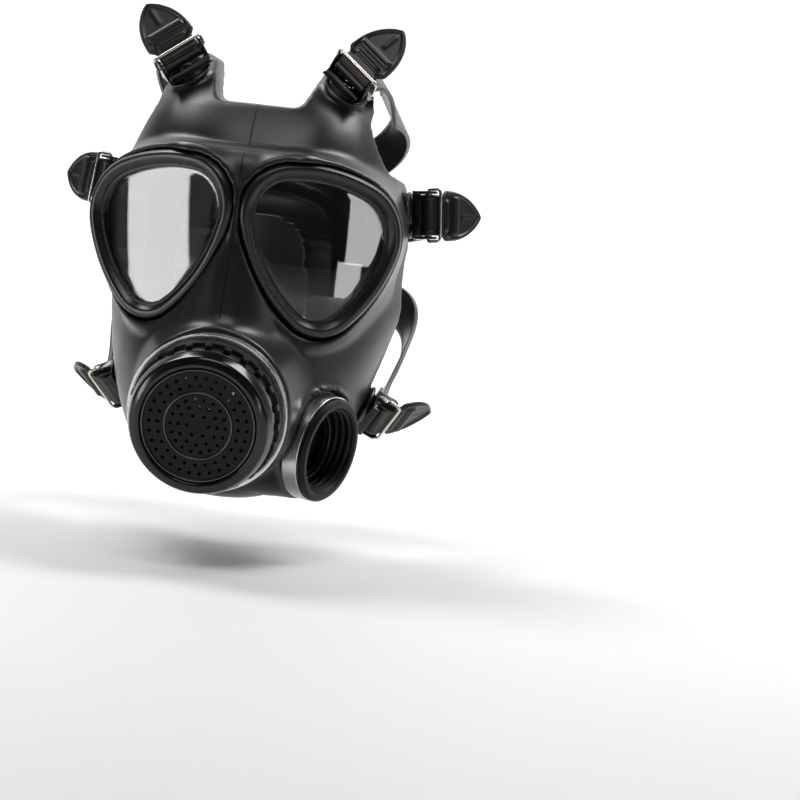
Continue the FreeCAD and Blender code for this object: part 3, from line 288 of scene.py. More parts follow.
def mouldedSkin():
    tree, src, out = newTree("mouldedSkin", "ShaderNodeTree", {
        "Vector": "Vector", "Colour": "Color", "Bloom Colour": "Color", "Bloom": "Float",
        "Rough Low": "Float", "Rough High": "Float", "Grain Scale": "Float", "Grain": "Float",
    }, {"Colour": "Color", "Roughness": "Float", "Height": "Float"})
    grain = noiseNode(tree, src["Vector"], src["Grain Scale"], 3.0, 0.6)
    wave = noiseNode(tree, src["Vector"], 70.0, 2.0)
    cloud = noiseNode(tree, src["Vector"], 28.0, 4.0, 0.62)
    smear = noiseNode(tree, src["Vector"], 160.0, 5.0, 0.7)
    share = mathNode(tree, "MULTIPLY", mathNode(tree, "MULTIPLY", cloud, smear), src["Bloom"])
    fine = mathNode(tree, "MULTIPLY", grain, src["Grain"])
    feed(tree, out["Colour"], mixNode(tree, share, src["Colour"], src["Bloom Colour"]))
    feed(tree, out["Roughness"], rangeNode(tree, cloud, src["Rough Low"], src["Rough High"]))
    feed(tree, out["Height"], mathNode(tree, "ADD", fine, mathNode(tree, "MULTIPLY", wave, 1.5)))
    return tree


def turnedLines():
    tree, src, out = newTree("turnedLines", "ShaderNodeTree", {
        "Vector": "Vector", "Scale": "Float", "Rough Low": "Float", "Rough High": "Float",
    }, {"Roughness": "Float", "Height": "Float", "Shade": "Float"})
    split = addNode(tree, "ShaderNodeSeparateXYZ", Vector=src["Vector"]).outputs
    across, along = 25.0, src["Scale"]
    spread = {axis: mathNode(tree, "MULTIPLY", split[axis], scale)
              for axis, scale in zip("XYZ", (across, across, along))}
    lines = noiseNode(tree, addNode(tree, "ShaderNodeCombineXYZ", **spread).outputs[0], 1.0, 3.0, 0.7)
    feed(tree, out["Roughness"], rangeNode(tree, lines, src["Rough Low"], src["Rough High"]))
    feed(tree, out["Height"], lines)
    feed(tree, out["Shade"], rangeNode(tree, lines, 0.82, 1.0))
    return tree


skinGroup = mouldedSkin()
lineGroup = turnedLines()


def newMaterial(name, values):
    mat = bpy.data.materials.new(name)
    mat.use_nodes = True
    shader = mat.node_tree.nodes["Principled BSDF"]
    for socket, value in values.items():
        shader.inputs[socket].default_value = value
    return mat, mat.node_tree, shader.inputs


def useGroup(tree, group, values):
    node = tree.nodes.new("ShaderNodeGroup")
    node.node_tree = group
    for name, value in values.items():
        feed(tree, node.inputs[name], value)
    return node.outputs


def bumpNode(tree, height, strength, distance):
    return addNode(tree, "ShaderNodeBump", Height=height, Strength=strength,
                   Distance=distance * mm).outputs["Normal"]


def skinMaterial(name, look):
    colour, bloomColour, bloom, roughLow, roughHigh, grainScale, grain, bump, own = look
    mat, tree, shader = newMaterial(name, own)
    skin = useGroup(tree, skinGroup, {
        "Vector": tree.nodes.new("ShaderNodeTexCoord").outputs["Object"], "Colour": (*colour, 1),
        "Bloom Colour": (*bloomColour, 1), "Bloom": bloom, "Rough Low": roughLow, "Rough High": roughHigh,
        "Grain Scale": grainScale, "Grain": grain})
    feed(tree, shader["Base Color"], skin["Colour"])
    feed(tree, shader["Roughness"], skin["Roughness"])
    feed(tree, shader["Normal"], bumpNode(tree, skin["Height"], bump, 0.2))
    return mat


def turnedMaterial(name, look, m):
    mat, tree, shader = newMaterial(name, look["shader"])
    spin = tree.nodes.new("ShaderNodeMapping")
    spin.vector_type = "TEXTURE"
    spin.inputs["Rotation"].default_value = Matrix(m[:3, :3].tolist()).to_euler()
    spin.inputs["Location"].default_value = (m[:3, 3] * mm).tolist()
    feed(tree, spin.inputs["Vector"], tree.nodes.new("ShaderNodeTexCoord").outputs["Object"])
    lines = useGroup(tree, lineGroup, {
        "Vector": spin.outputs["Vector"], "Scale": look["lineScale"], "Rough Low": look["rough"][0],
        "Rough High": look["rough"][1]})
    dark = [c * 0.7 for c in look["colour"]]
    feed(tree, shader["Base Color"], mixNode(tree, lines["Shade"], (*dark, 1), (*look["colour"], 1)))
    feed(tree, shader["Roughness"], lines["Roughness"])
    feed(tree, shader["Normal"], bumpNode(tree, lines["Height"], look["bump"], 0.03))
    return mat


# colour, bloom colour, bloom, roughness low and high, grain scale, grain, bump and the shader's own values
finishes = {
    "faceRubber": ((0.0042, 0.0044, 0.0052), (0.0125, 0.0132, 0.0155), 0.8, 0.29, 0.4, 2600.0, 0.5, 0.1,
                   {"Specular IOR Level": 0.62}),
    # the seam strip is a real moulding seam; its darker colour is painted shade of the seam groove
    "seamShadeRubber": ((0.003, 0.003, 0.0034), (0.008, 0.008, 0.009), 0.5, 0.55, 0.65, 2600.0, 0.5, 0.08,
                   {"Specular IOR Level": 0.2}),
    "rimRubber": ((0.0045, 0.0046, 0.0052), (0.014, 0.0146, 0.017), 0.6, 0.24, 0.34, 3200.0, 0.4, 0.06,
                  {"Specular IOR Level": 0.6}),
    "strapRubber": ((0.0055, 0.0056, 0.0063), (0.018, 0.018, 0.02), 0.8, 0.28, 0.4, 2200.0, 0.8, 0.14,
                    {"Specular IOR Level": 0.55}),
    "cupSilicone": ((0.016, 0.016, 0.018), (0.04, 0.041, 0.045), 0.7, 0.45, 0.6, 1800.0, 0.7, 0.1, {}),
    "valveRubber": ((0.1, 0.075, 0.05), (0.2, 0.17, 0.13), 0.5, 0.45, 0.6, 2500.0, 0.4, 0.08, {}),
    "glossBlack": ((0.0035, 0.0035, 0.004), (0.01, 0.01, 0.011), 0.3, 0.12, 0.2, 1500.0, 0.15, 0.03,
                   {"Specular IOR Level": 0.42, "Coat Weight": 0.12}),
    "matteBlack": ((0.0026, 0.0026, 0.003), (0.0062, 0.0062, 0.0072), 0.6, 0.36, 0.48, 3600.0, 1.0, 0.16,
                   {"Specular IOR Level": 0.22}),
    "beadGrey": ((0.1, 0.1, 0.105), (0.16, 0.16, 0.17), 0.4, 0.2, 0.3, 2500.0, 0.3, 0.04,
                 {"Metallic": 0.7}),
    "paleSeat": ((0.45, 0.45, 0.42), (0.6, 0.6, 0.57), 0.4, 0.4, 0.5, 2000.0, 0.5, 0.08, {}),
    "amberFoil": ((0.45, 0.33, 0.12), (0.6, 0.48, 0.2), 0.4, 0.15, 0.25, 900.0, 0.3, 0.1, {}),
    "nickelWire": ((0.8, 0.74, 0.62), (0.6, 0.55, 0.45), 0.5, 0.14, 0.24, 3000.0, 0.5, 0.05,
                   {"Metallic": 1.0}),
    "polished": ((0.82, 0.82, 0.82), (0.6, 0.6, 0.6), 0.4, 0.08, 0.18, 2500.0, 0.4, 0.04,
                 {"Metallic": 1.0}),
}
paint = {name: skinMaterial(name, look) for name, look in finishes.items()}
glass, _, _ = newMaterial("clearGlass", {
    "Base Color": (0.97, 0.985, 0.99, 1), "Roughness": 0.012, "Transmission Weight": 1.0, "IOR": 1.49,
    "Specular IOR Level": 0.5})
print("materials made")


# units of the front and the cheek

lens = {
    "side": 40.1, "front": 74.0, "turn": 23.4, "twist": 4.9, "wide": 79.5, "tall": 82.8,
    "cornerInner": 25.0, "cornerOuter": 28.0, "cornerLow": 22.0, "innerDrop": 1.0, "outerDrop": 7.0,
    "sideArc": 78.0, "rimWide": 8.0, "rimDeep": 6.0, "glassInset": 6.5, "glassCrown": 0.7,
}
barHeight = 11.4  # the buckle bar's height over the skin
tailLean = math.radians(50)
tailAlong = np.array([math.sin(tailLean), 0, math.cos(tailLean)])
tailFront = np.array([-math.cos(tailLean), 0, math.sin(tailLean)])

ringJoint = joints["lock_ring_turn"]
valveFrame = makeFrame(np.array(ringJoint["pos_m"]) / mm, [1, 0, 0], ringJoint["axis"])
portMount = mounts["filter_port"]
portAxis = unit(portMount["axis"])
portFrame = makeFrame(np.array(portMount["pos_m"]) / mm + portAxis * 4.0, [0, 1, 0], portAxis)


def lensFrame(sign):
    turn, twist = math.radians(lens["turn"]), math.radians(lens["twist"])
    out = np.array([sign * math.sin(turn), -math.cos(turn), 0])
    across = np.array([math.cos(turn), sign * math.sin(turn), 0])
    return makeFrame([sign * lens["side"], -lens["front"], 0],
                     across * math.cos(twist) + up * (sign * math.sin(twist)), out)


def anchorFrame(tag):
    y = -unit(joints["keeper_" + tag + "_turn"]["axis"])
    along = unit(joints["tail_" + tag + "_pull"]["axis"])
    front = np.cross(along, y)
    z = along * math.cos(tailLean) + front * math.sin(tailLean)
    x = along * math.sin(tailLean) - front * math.cos(tailLean)
    bar = np.array(joints["keeper_" + tag + "_turn"]["pos_m"]) / mm
    return makeFrame(bar - z * barHeight, x, z)


def lensOutline(sign, steps=26):
    w, h = lens["wide"] / 2, lens["tall"] / 2
    ri, ro, rl, big = lens["cornerInner"], lens["cornerOuter"], lens["cornerLow"], lens["sideArc"]
    circles = [(np.array([sign * (ri - w), h - ri - lens["innerDrop"]]), ri),
               (np.array([sign * (w - ro), h - ro - lens["outerDrop"]]), ro), (np.array([0, rl - h]), rl)]
    middle = sum(c for c, _ in circles) / 3
    arcs = []
    for i in range(3):
        (a, ra), (b, rb) = circles[i], circles[(i + 1) % 3]
        gap = b - a
        length = np.linalg.norm(gap)
        da, db = big - ra, big - rb
        along = (da**2 - db**2 + length**2) / (2 * length)
        off = math.sqrt(da**2 - along**2)
        ahead = gap / length
        base = a + ahead * along
        q = min((base + off * s * np.array([-ahead[1], ahead[0]]) for s in (1, -1)),
                key=lambda p: np.linalg.norm(p - middle))
        arcs.append((q, big, unit(a - q), unit(b - q)))
    points, normals = [], []
    for i in range(3):
        q, radius, start, end = arcs[i]
        corner, r = circles[(i + 1) % 3]
        for centre, size, n0, n1 in ((q, radius, start, end), (corner, r, end, arcs[(i + 1) % 3][2])):
            turn = math.atan2(n0[0] * n1[1] - n0[1] * n1[0], n0 @ n1)
            for k in range(steps):
                n = turned2(n0, turn * k / steps)
                points.append(centre + n * size)
                normals.append(n)
    return np.array(points), np.array(normals)


# the rubber facepiece: one closed skin taken from a distance field

face = {
    "cell": 1.44, "low": (-82.0, -124.0, -131.0), "high": (82.0, 38.0, 104.0),
    "fanBack": 45.0, "fanDrop": -15.0, "wall": 2.7,
    "podInset": 0.5, "podWall": 3.2, "podLean": -6.5, "podDeep": 56.0, "podBlend": 9.0, "podHollow": 42.0,
    "sleeve": 35.3, "sleeveEnd": 6.0, "sleeveBore": 32.35, "sleeveBlend": 9.0,
    "neck": 25.0, "neckEnd": -2.85, "neckBore": 23.65, "neckBlend": 7.0,
    "boss": 9.0, "bossRise": 1.0, "edgeRound": 1.2,
    "notchHalf": 19.5, "notchFloor": 65.5,
    "sealDeep": 8.0, "sealWide": 13.0, "sealThick": 2.5, "tabThin": 0.8, "notchRound": 5.5,
    "bridgeTop": ((0, -75, 26), (0, -76, 6), 8.5, 9.5), "bridgeLow": ((0, -76, 6), (0, -82, -38), 9.5, 17.0),
    "brow": ((-27, -74.5, 33.5), (27, -74.5, 33.5), 8.0, 8.0),
    "seam": ((-0.42, -0.5), (0.42, -0.5), (0.3, 0.16), (-0.3, 0.16)),
}
fanRows = ((72, 121, 71, 3.0), (60, 122.5, 71, 3.1), (48, 124.5, 71.5, 3.2), (37, 128, 72, 3.1),
           (27, 128.6, 74, 2.8), (17, 125.5, 75, 2.35), (8, 124.5, 76, 2.15), (-1, 130, 77, 1.95),
           (-9, 140.5, 78, 1.8), (-16.5, 151, 78, 1.8), (-24, 157.5, 76, 1.95), (-32, 160, 73, 2.15),
           (-40, 156.5, 70, 2.3), (-48, 146, 67, 2.4), (-56, 130, 64, 2.45),
           (-66, 110, 61, 2.5))
edgeSide = ((-9, 96), (-9.5, 80), (-20, 68.5), (-31, 60), (-33.5, 50), (-27, 40.5), (-10, 37), (6, 34),
            (13.5, 20), (8.5, 6.5), (3.5, -8), (3, -30), (-2, -50), (0.5, -62), (9, -70), (9.5, -82),
            (0, -91), (-12, -100), (-22, -112), (-27, -126))
sealSide = ((-18, 110), (-24, 76), (-32, 62), (-33.5, 50), (-27, 38), (-13, 26), (-3, 10), (1, -8), (1, -30),
            (-3, -50), (-5, -70), (-8, -86), (-14, -100), (-23, -112), (-28, -128))
edgeFront = ((26, 85), (38, 90.5), (47, 86), (52, 77), (56, 66), (70, 58))


def softMin(a, b, k):
    t = np.clip(0.5 + 0.5 * (b - a) / k, 0, 1)
    return b + (a - b) * t - k * t * (1 - t)


def softMax(a, b, k):
    return -softMin(-a, -b, k)


def evened(f, cell):
    gx, gy, gz = np.gradient(f, cell)
    return f / np.maximum(np.sqrt(gx * gx + gy * gy + gz * gz), 0.05)


def polygonField(points, p, q):
    shape = np.broadcast_shapes(p.shape, q.shape)  # signed distance to a closed outline, negative inside
    p, q = np.broadcast_to(p, shape).ravel(), np.broadcast_to(q, shape).ravel()
    best = np.full(p.size, 1e9)
    inside = np.zeros(p.size, bool)
    for (ax, ay), (bx, by) in zip(points, np.roll(points, -1, 0)):
        ex, ey = bx - ax, by - ay
        px, py = p - ax, q - ay
        t = np.clip((px * ex + py * ey) / max(ex * ex + ey * ey, 1e-9), 0, 1)
        best = np.minimum(best, (px - t * ex) ** 2 + (py - t * ey) ** 2)
        if ay != by:
            cross = (ay > q) != (by > q)
            inside ^= cross & (p < ex * (q - ay) / ey + ax)
    d = np.sqrt(best)
    return np.where(inside, -d, d).reshape(shape)


def fanSkin(x, y, z, cell):
    back, high = face["fanBack"] - y, z - face["fanDrop"]
    angle = np.degrees(np.arctan2(high, back))
    far = np.hypot(back, high)
    rows = np.array(sorted(fanRows), float)
    fine = np.linspace(rows[0, 0], rows[-1, 0], 400)
    values = []
    for k in (1, 2, 3):
        slope = np.gradient(rows[:, k], rows[:, 0])
        i = np.clip(np.searchsorted(rows[:, 0], fine, "right") - 1, 0, len(rows) - 2)
        span = rows[i + 1, 0] - rows[i, 0]
        t = (fine - rows[i, 0]) / span
        h = rows[i, k] * (2 * t**3 - 3 * t**2 + 1) + slope[i] * span * (t**3 - 2 * t**2 + t)
        h += rows[i + 1, k] * (3 * t**2 - 2 * t**3) + slope[i + 1] * span * (t**3 - t**2)
        values.append(np.interp(angle, fine, h))
    reach, half, power = values
    g = ((np.abs(x) / half) ** power + (far / reach) ** power) ** (1 / power)
    return evened(g - 1, cell)


def seenFrom(x, y, z, m):
    return np.stack([x - m[0, 3], y - m[1, 3], z - m[2, 3]], -1) @ m[:3, :3]


def lensWall(u, v, sign, cell):
    points, _ = lensOutline(sign)
    turn = np.arctan2(points[:, 1], points[:, 0])
    order = np.argsort(turn)
    edge = np.interp(np.arctan2(v, u), turn[order], np.hypot(*points.T)[order], period=2 * math.pi)
    return evened(np.hypot(u, v) - edge, cell)


def podField(x, y, z, sign, inset, top, deep, cell):
    m = lensFrame(sign)
    p = seenFrom(x, y, z, m)
    run = np.array([sign * face["podLean"], face["podDeep"], 0]) @ m[:3, :3]
    t = -p[..., 2] / run[2]
    wall = lensWall(p[..., 0] + t * run[0], p[..., 1] + t * run[1], sign, cell) + inset
    return softMax(softMax(wall, p[..., 2] - top, 1.6), y - (deep - lens["front"]), 3.0)


def roundField(x, y, z, m, radius, low, high, k=1.0):
    p = seenFrom(x, y, z, m)
    return softMax(softMax(np.hypot(p[..., 0], p[..., 1]) - radius, p[..., 2] - high, k), low - p[..., 2], k)


def spindle(x, y, z, a, b, ra, rb):
    a, b = np.array(a, float), np.array(b, float)  # a round bar with a different radius at each end
    e = b - a
    px, py, pz = x - a[0], y - a[1], z - a[2]
    t = np.clip((px * e[0] + py * e[1] + pz * e[2]) / (e @ e), 0, 1)
    return np.sqrt((px - t * e[0]) ** 2 + (py - t * e[1]) ** 2 + (pz - t * e[2]) ** 2) - (ra + (rb - ra) * t)


def faceField(cell):
    axes = [np.arange(face["low"][i], face["high"][i] + cell, cell) for i in range(3)]
    x, y, z = (a.astype(np.float32) for a in np.meshgrid(*axes, indexing="ij"))
    skin = fanSkin(x, y, z, cell)
    wall = face["wall"]
    outer, inner = skin, skin + wall - face["tabThin"] * np.clip((z - 50) / 14, 0, 1)
    bridge = softMin(spindle(x, y, z, *face["bridgeTop"]), spindle(x, y, z, *face["bridgeLow"]), 4.0)
    brow = spindle(x, y, z, *face["brow"])
    outer = softMin(softMin(outer, bridge, 8.0), brow, 7.0)
    inner = softMin(inner, bridge + wall, 6.0)
    openings = None
    for sign in (1, -1):
        seat = -lens["rimDeep"]
        outer = softMin(outer, podField(x, y, z, sign, face["podInset"], seat, face["podDeep"], cell),
                        face["podBlend"])
        hollow = podField(x, y, z, sign, face["podInset"] + face["podWall"], seat - 2.4, face["podHollow"],
                          cell)
        inner = softMin(inner, hollow, 4.0)
        front = lensPrism(x, y, z, sign, -0.7, seat, 60.0, cell)
        outer = softMax(outer, -front, 0.8)
        hole = lensPrism(x, y, z, sign, lens["rimWide"] - 0.1, -22.0, 60.0, cell)
        openings = hole if openings is None else np.minimum(openings, hole)
    outer = softMin(outer, roundField(x, y, z, valveFrame, face["sleeve"], -32, face["sleeveEnd"]),
                    face["sleeveBlend"])
    outer = softMax(outer, -ringField(x, y, z, valveFrame, face["sleeve"], 40.0, -5.2, 30.0), 0.8)
    outer = softMin(outer, roundField(x, y, z, portFrame, face["neck"], -24, face["neckEnd"]),
                    face["neckBlend"])
    outer = softMax(outer, -ringField(x, y, z, portFrame, face["neck"], 27.6, -11.8, 30.0), 0.8)
    for tag in anchorTags:
        outer = softMin(outer, roundField(x, y, z, anchorFrame(tag), face["boss"], -6, face["bossRise"]), 3.0)
    inner = softMin(inner, roundField(x, y, z, valveFrame, face["sleeveBore"], -40, 30), 2.0)
    inner = softMin(inner, roundField(x, y, z, portFrame, face["neckBore"], -32, 30), 2.0)
    body = softMax(outer, -inner, 0.8)
    body = softMax(body, -openings, 0.8)
    side = curveThrough(edgeSide, 8)
    side = np.vstack([side, [(-27, -160), (-170, -160), (-170, 140), (-9, 140)]])
    trim = polygonField(side, y[:1, :, :], z[:1, :, :])
    crown = curveThrough(edgeFront, 6)
    lean = math.atan2(crown[0, 1] - face["notchFloor"], crown[0, 0] - face["notchHalf"])
    r = face["notchRound"]
    bend = [(face["notchHalf"] + r * (math.sin(t) - math.tan(lean / 2)),
             face["notchFloor"] + r * (1 - math.cos(t)))
            for t in np.linspace(0, lean, 7)]
    top = np.vstack([[(0, face["notchFloor"])], bend, crown, [(140, 58), (140, 170), (0, 170)]])
    top = np.vstack([top, top[::-1] * (-1, 1)])
    notch = polygonField(top, x[:, :1, :], z[:, :1, :])
    edge = softMax(trim, -notch, 2.0)
    body = softMax(body, edge, face["edgeRound"])
    seal = curveThrough(sealSide, 8)
    seal = np.vstack([seal, [(-28, -160), (-170, -160), (-170, 140), (-18, 140)]])
    sealEdge = np.maximum(polygonField(seal, y[:1, :, :], z[:1, :, :]), z - face["notchFloor"])
    deep, thick = face["sealDeep"], face["sealThick"] / 2
    flap = np.maximum(np.abs(skin + deep) - thick, np.maximum(sealEdge + 0.2, -sealEdge - face["sealWide"]))
    turn = np.maximum(np.abs(sealEdge + thick + 0.3) - thick, np.maximum(skin + 1.0, -skin - deep - thick))
    flap = softMin(flap, turn, 4.0)
    flap = np.maximum(flap, -roundField(x, y, z, portFrame, 24.5, -34, 30))
    body = softMin(body, flap, 1.2)
    return body, np.array([a[0] for a in axes])


def lensPrism(x, y, z, sign, inset, low, high, cell):
    p = seenFrom(x, y, z, lensFrame(sign))
    wall = lensWall(p[..., 0], p[..., 1], sign, cell) + inset
    return np.maximum(wall, np.maximum(p[..., 2] - high, low - p[..., 2]))


def ringField(x, y, z, m, inner, outer, low, high):
    p = seenFrom(x, y, z, m)
    r = np.hypot(p[..., 0], p[..., 1])
    return np.maximum(np.maximum(inner - r, r - outer), np.maximum(p[..., 2] - high, low - p[..., 2]))


def skinMesh(field):
    # one point in each cell that the surface crosses, and a face round each crossed edge
    shape = np.array(field.shape)
    strides = np.array([shape[1] * shape[2], shape[2], 1])
    inside = field < 0
    cells, spots, quads = [], [], []
    for axis in range(3):
        lowCut = [slice(1, -2)] * 3
        highCut = [slice(1, -2)] * 3
        highCut[axis] = slice(2, -1)
        a, b = inside[tuple(lowCut)], inside[tuple(highCut)]
        idx = np.argwhere(a != b) + 1
        f0 = field[tuple(idx.T)]
        step = np.eye(3, dtype=int)[axis]
        f1 = field[tuple((idx + step).T)]
        spot = idx + (f0 / (f0 - f1))[:, None] * step
        p, q = np.eye(3, dtype=int)[(axis + 1) % 3], np.eye(3, dtype=int)[(axis + 2) % 3]
        ring = [(idx - p * i - q * j) @ strides for i, j in ((0, 0), (1, 0), (1, 1), (0, 1))]
        for c in ring:
            cells.append(c)
            spots.append(spot)
        quad = np.stack(ring, 1)
        flip = f0 >= 0
        quad[flip] = quad[flip][:, ::-1]
        quads.append(quad)
    cells, spots, quads = np.concatenate(cells), np.concatenate(spots), np.concatenate(quads)
    keys, back = np.unique(cells, return_inverse=True)
    count = np.bincount(back)
    points = np.stack([np.bincount(back, spots[:, k]) / count for k in range(3)], 1)
    return points, np.searchsorted(keys, quads)


def fieldAt(field, p):
    i = np.clip(np.floor(p).astype(int), 0, np.array(field.shape) - 2)
    t = p - i
    total = 0
    for dx in (0, 1):
        for dy in (0, 1):
            for dz in (0, 1):
                w = ((t[:, 0] if dx else 1 - t[:, 0]) * (t[:, 1] if dy else 1 - t[:, 1])
                     * (t[:, 2] if dz else 1 - t[:, 2]))
                total = total + w * field[i[:, 0] + dx, i[:, 1] + dy, i[:, 2] + dz]
    return total


def settleOnField(field, points, faces, cell, rounds=5):
    edges = np.concatenate([faces[:, [0, 1]], faces[:, [1, 2]], faces[:, [2, 3]], faces[:, [3, 0]]])
    count = np.bincount(edges.ravel(), minlength=len(points))
    for _ in range(rounds):
        mean = np.stack([(np.bincount(edges[:, 0], points[edges[:, 1], k], len(points))
                          + np.bincount(edges[:, 1], points[edges[:, 0], k], len(points))) / count
                          for k in range(3)], 1)
        points = points + 0.5 * (mean - points)
        grad = np.stack([fieldAt(field, points + h) - fieldAt(field, points - h) for h in 0.6 * np.eye(3)],
                        1) / (1.2 * cell)
        size = np.maximum(np.sum(grad**2, 1), 0.05)
        move = -(fieldAt(field, points) / size)[:, None] * grad / cell
        points = points + np.clip(move, -0.6, 0.6)
    return points


def buildFacepiece():
    cell = face["cell"]
    field, corner = faceField(cell)
    points, faces = skinMesh(field)
    points = settleOnField(field, points, faces, cell)
    points = points * cell + corner
    keep = biggestPart(len(points), faces)
    used = np.nonzero(keep)[0]
    number = np.full(len(points), -1)
    number[used] = np.arange(len(used))
    faces = number[faces[keep[faces[:, 0]]]]
    seam = seamLine(field, corner, cell)
    # the seam strip is a real moulding seam, painted darker as the shade of its groove
    strip = sweep("seam", seam, [[1, 0, 0]] * len(seam), np.array(face["seam"]), paint["seamShadeRubber"])
    obj = join("facepieceRubber", [newObject("skin", points[used], faces, paint["faceRubber"]), strip])
    print("facepiece", len(faces), "faces")
    return settle(obj, "root", "face_rubber", "facepiece")


def seamLine(field, corner, cell):
    line = []
    for z in np.arange(face["notchFloor"] - 0.6, -36.0, -1.0):
        y = np.arange(-118.0, 0.0, 0.1)
        p = (np.stack([np.zeros_like(y), y, np.full_like(y, z)], 1) - corner) / cell
        line.append((0.0, y[np.argmax(fieldAt(field, p) < 0)], z))
    line = np.array(line)
    for _ in range(2):
        line[1:-1] = (line[:-2] + 2 * line[1:-1] + line[2:]) / 4
    return line


def biggestPart(count, faces):
    label = np.arange(count)
    edges = np.concatenate([faces[:, [0, 1]], faces[:, [1, 2]], faces[:, [2, 3]]])
    while True:
        low = np.minimum(label[edges[:, 0]], label[edges[:, 1]])
        new = label.copy()
        np.minimum.at(new, edges[:, 0], low)
        np.minimum.at(new, edges[:, 1], low)
        new = new[new]
        if (new == label).all():
            break
        label = new
    names, sizes = np.unique(label, return_counts=True)
    return label == names[np.argmax(sizes)]


anchorTags = [n + "_" + s for n in anchorNames for s in sides]
buildFacepiece()


# eyepieces

rim = {"wallDrop": 6.05, "domeReach": 33.0}


def buildEyepiece(sideName, sign):
    m = lensFrame(sign)
    points, normals = lensOutline(sign)
    w, d = lens["rimWide"], rim["wallDrop"]
    section = roundedOutline(
        ((0.0, -d, 0.4), (-0.1, -1.9, 2.2), (1.5, 0.35, 2.0), (4.0, 0.5, 2.0), (6.2, -1.7, 0.6),
         (6.35, -2.35, 0.3), (6.75, -2.2, 0.4), (w, -2.45, 0.6), (w + 0.05, -3.1, 0.4), (w + 0.1, -3.9, 0.15),
         (6.3, -3.95, 0.1), (6.3, -d + 0.02, 0.1)), 0.5, 6)
    rows = points[:, None, :] - normals[:, None, :] * section[None, :, :1]
    solid = np.concatenate([rows, np.broadcast_to(section[None, :, 1:], rows.shape[:2] + (1,))], 2)
    faces = gridFaces(len(points), len(section), True, True)
    ring = newObject("rim_" + sideName, place(solid.reshape(-1, 3), m), faces, paint["rimRubber"], merge=1e-4)
    settle(ring, "root", "rim_rubber", "lens_rim_" + sideName)
    inner = points - normals * (lens["glassInset"] - 0.02)
    top, low = 2.0 - lens["rimDeep"], -lens["rimDeep"] + 0.02
    loops, n = [], len(points)
    shares = (0.0, 0.15, 0.3, 0.43, 0.55, 0.66, 0.76, 0.85, 0.92, 0.96, 0.99, 1.0)
    for height, order in ((top, shares), (low, shares[::-1])):
        for s in order:
            ring = inner * max(s, 1e-6) * (0.997 if s > 0.995 else 1)
            crown = (lens["glassCrown"] * (1 - np.sum(ring**2, 1) / rim["domeReach"] ** 2)
                     * min(1.0, (1 - s) / 0.08))
            edgeDrop = 0.18 * (s > 0.995) * (1 if height == top else -1)
            loops.append(np.column_stack([ring, height + crown - edgeDrop]))
    pane = newObject("pane_" + sideName, place(np.concatenate(loops), m),
                     gridFaces(len(loops), n, False, True), glass, merge=1e-3)
    settle(pane, "root", "clear_lens", "lens_" + sideName)


for sideName, sign in sides.items():
    buildEyepiece(sideName, sign)
print("eyepieces made")


# speech and outlet unit

unitSizes = {
    "sleeve": 35.3, "bandGauge": 0.8, "bandHalf": 5.0, "boreGap": 32.2, "bore": 28.6, "back": -13.0,
    "seatEnd": 6.0, "flange": 34.8, "flangeEnd": 8.6, "nose": 31.0, "noseEnd": 20.0, "ringRadius": 35.0,
    "ringEnd": 15.0, "lugCount": 24, "lugWide": 3.3, "lugDeep": 2.0, "coverRadius": 33.6, "coverStart": 16.2,
    "coverFront": 28.0, "grille": 26.4, "grilleLow": 25.0, "grilleThick": 2.0, "window": 11.2,
    "windowOff": 14.2,
}
turned = {"shader": {"Metallic": 1.0, "Specular IOR Level": 0.5}, "colour": (0.80, 0.80, 0.81),
          "lineScale": 5200.0, "rough": (0.20, 0.34), "bump": 0.35}
grilleRows = ((5.0, 6), (9.0, 12), (12.5, 18), (18.55, 24), (22.5, 30))


def coated(tree, out, shape, material):
    coat = addNode(tree, "GeometryNodeSetMaterial", Geometry=shape, Material=material)
    feed(tree, out["Geometry"], coat.outputs[0])
    return tree


def ringTree():
    tree, src, out = newTree("copiesOnRing", "GeometryNodeTree", {
        "Geometry": "Geometry", "Copy": "Object", "Count": "Int", "Radius": "Float", "Height": "Float",
        "Material": "Material"}, {"Geometry": "Geometry"})
    circle = addNode(tree, "GeometryNodeMeshCircle", Vertices=src["Count"], Radius=src["Radius"])
    offset = addNode(tree, "ShaderNodeCombineXYZ", Z=src["Height"])
    lift = addNode(tree, "GeometryNodeSetPosition", Geometry=circle.outputs[0], Offset=offset.outputs[0])
    copy = addNode(tree, "GeometryNodeObjectInfo", Object=src["Copy"])
    step = mathNode(tree, "DIVIDE", 2 * math.pi, src["Count"])
    turn = mathNode(tree, "MULTIPLY", tree.nodes.new("GeometryNodeInputIndex").outputs[0], step)
    spin = addNode(tree, "ShaderNodeCombineXYZ", Z=turn)
    scatter = addNode(tree, "GeometryNodeInstanceOnPoints", Points=lift.outputs[0],
                      Instance=copy.outputs["Geometry"], Rotation=spin.outputs[0])
    real = addNode(tree, "GeometryNodeRealizeInstances", Geometry=scatter.outputs[0])
    both = addNode(tree, "GeometryNodeJoinGeometry", Geometry=real.outputs[0])
    feed(tree, both.inputs[0], src["Geometry"])
    return coated(tree, out, both.outputs[0], src["Material"])


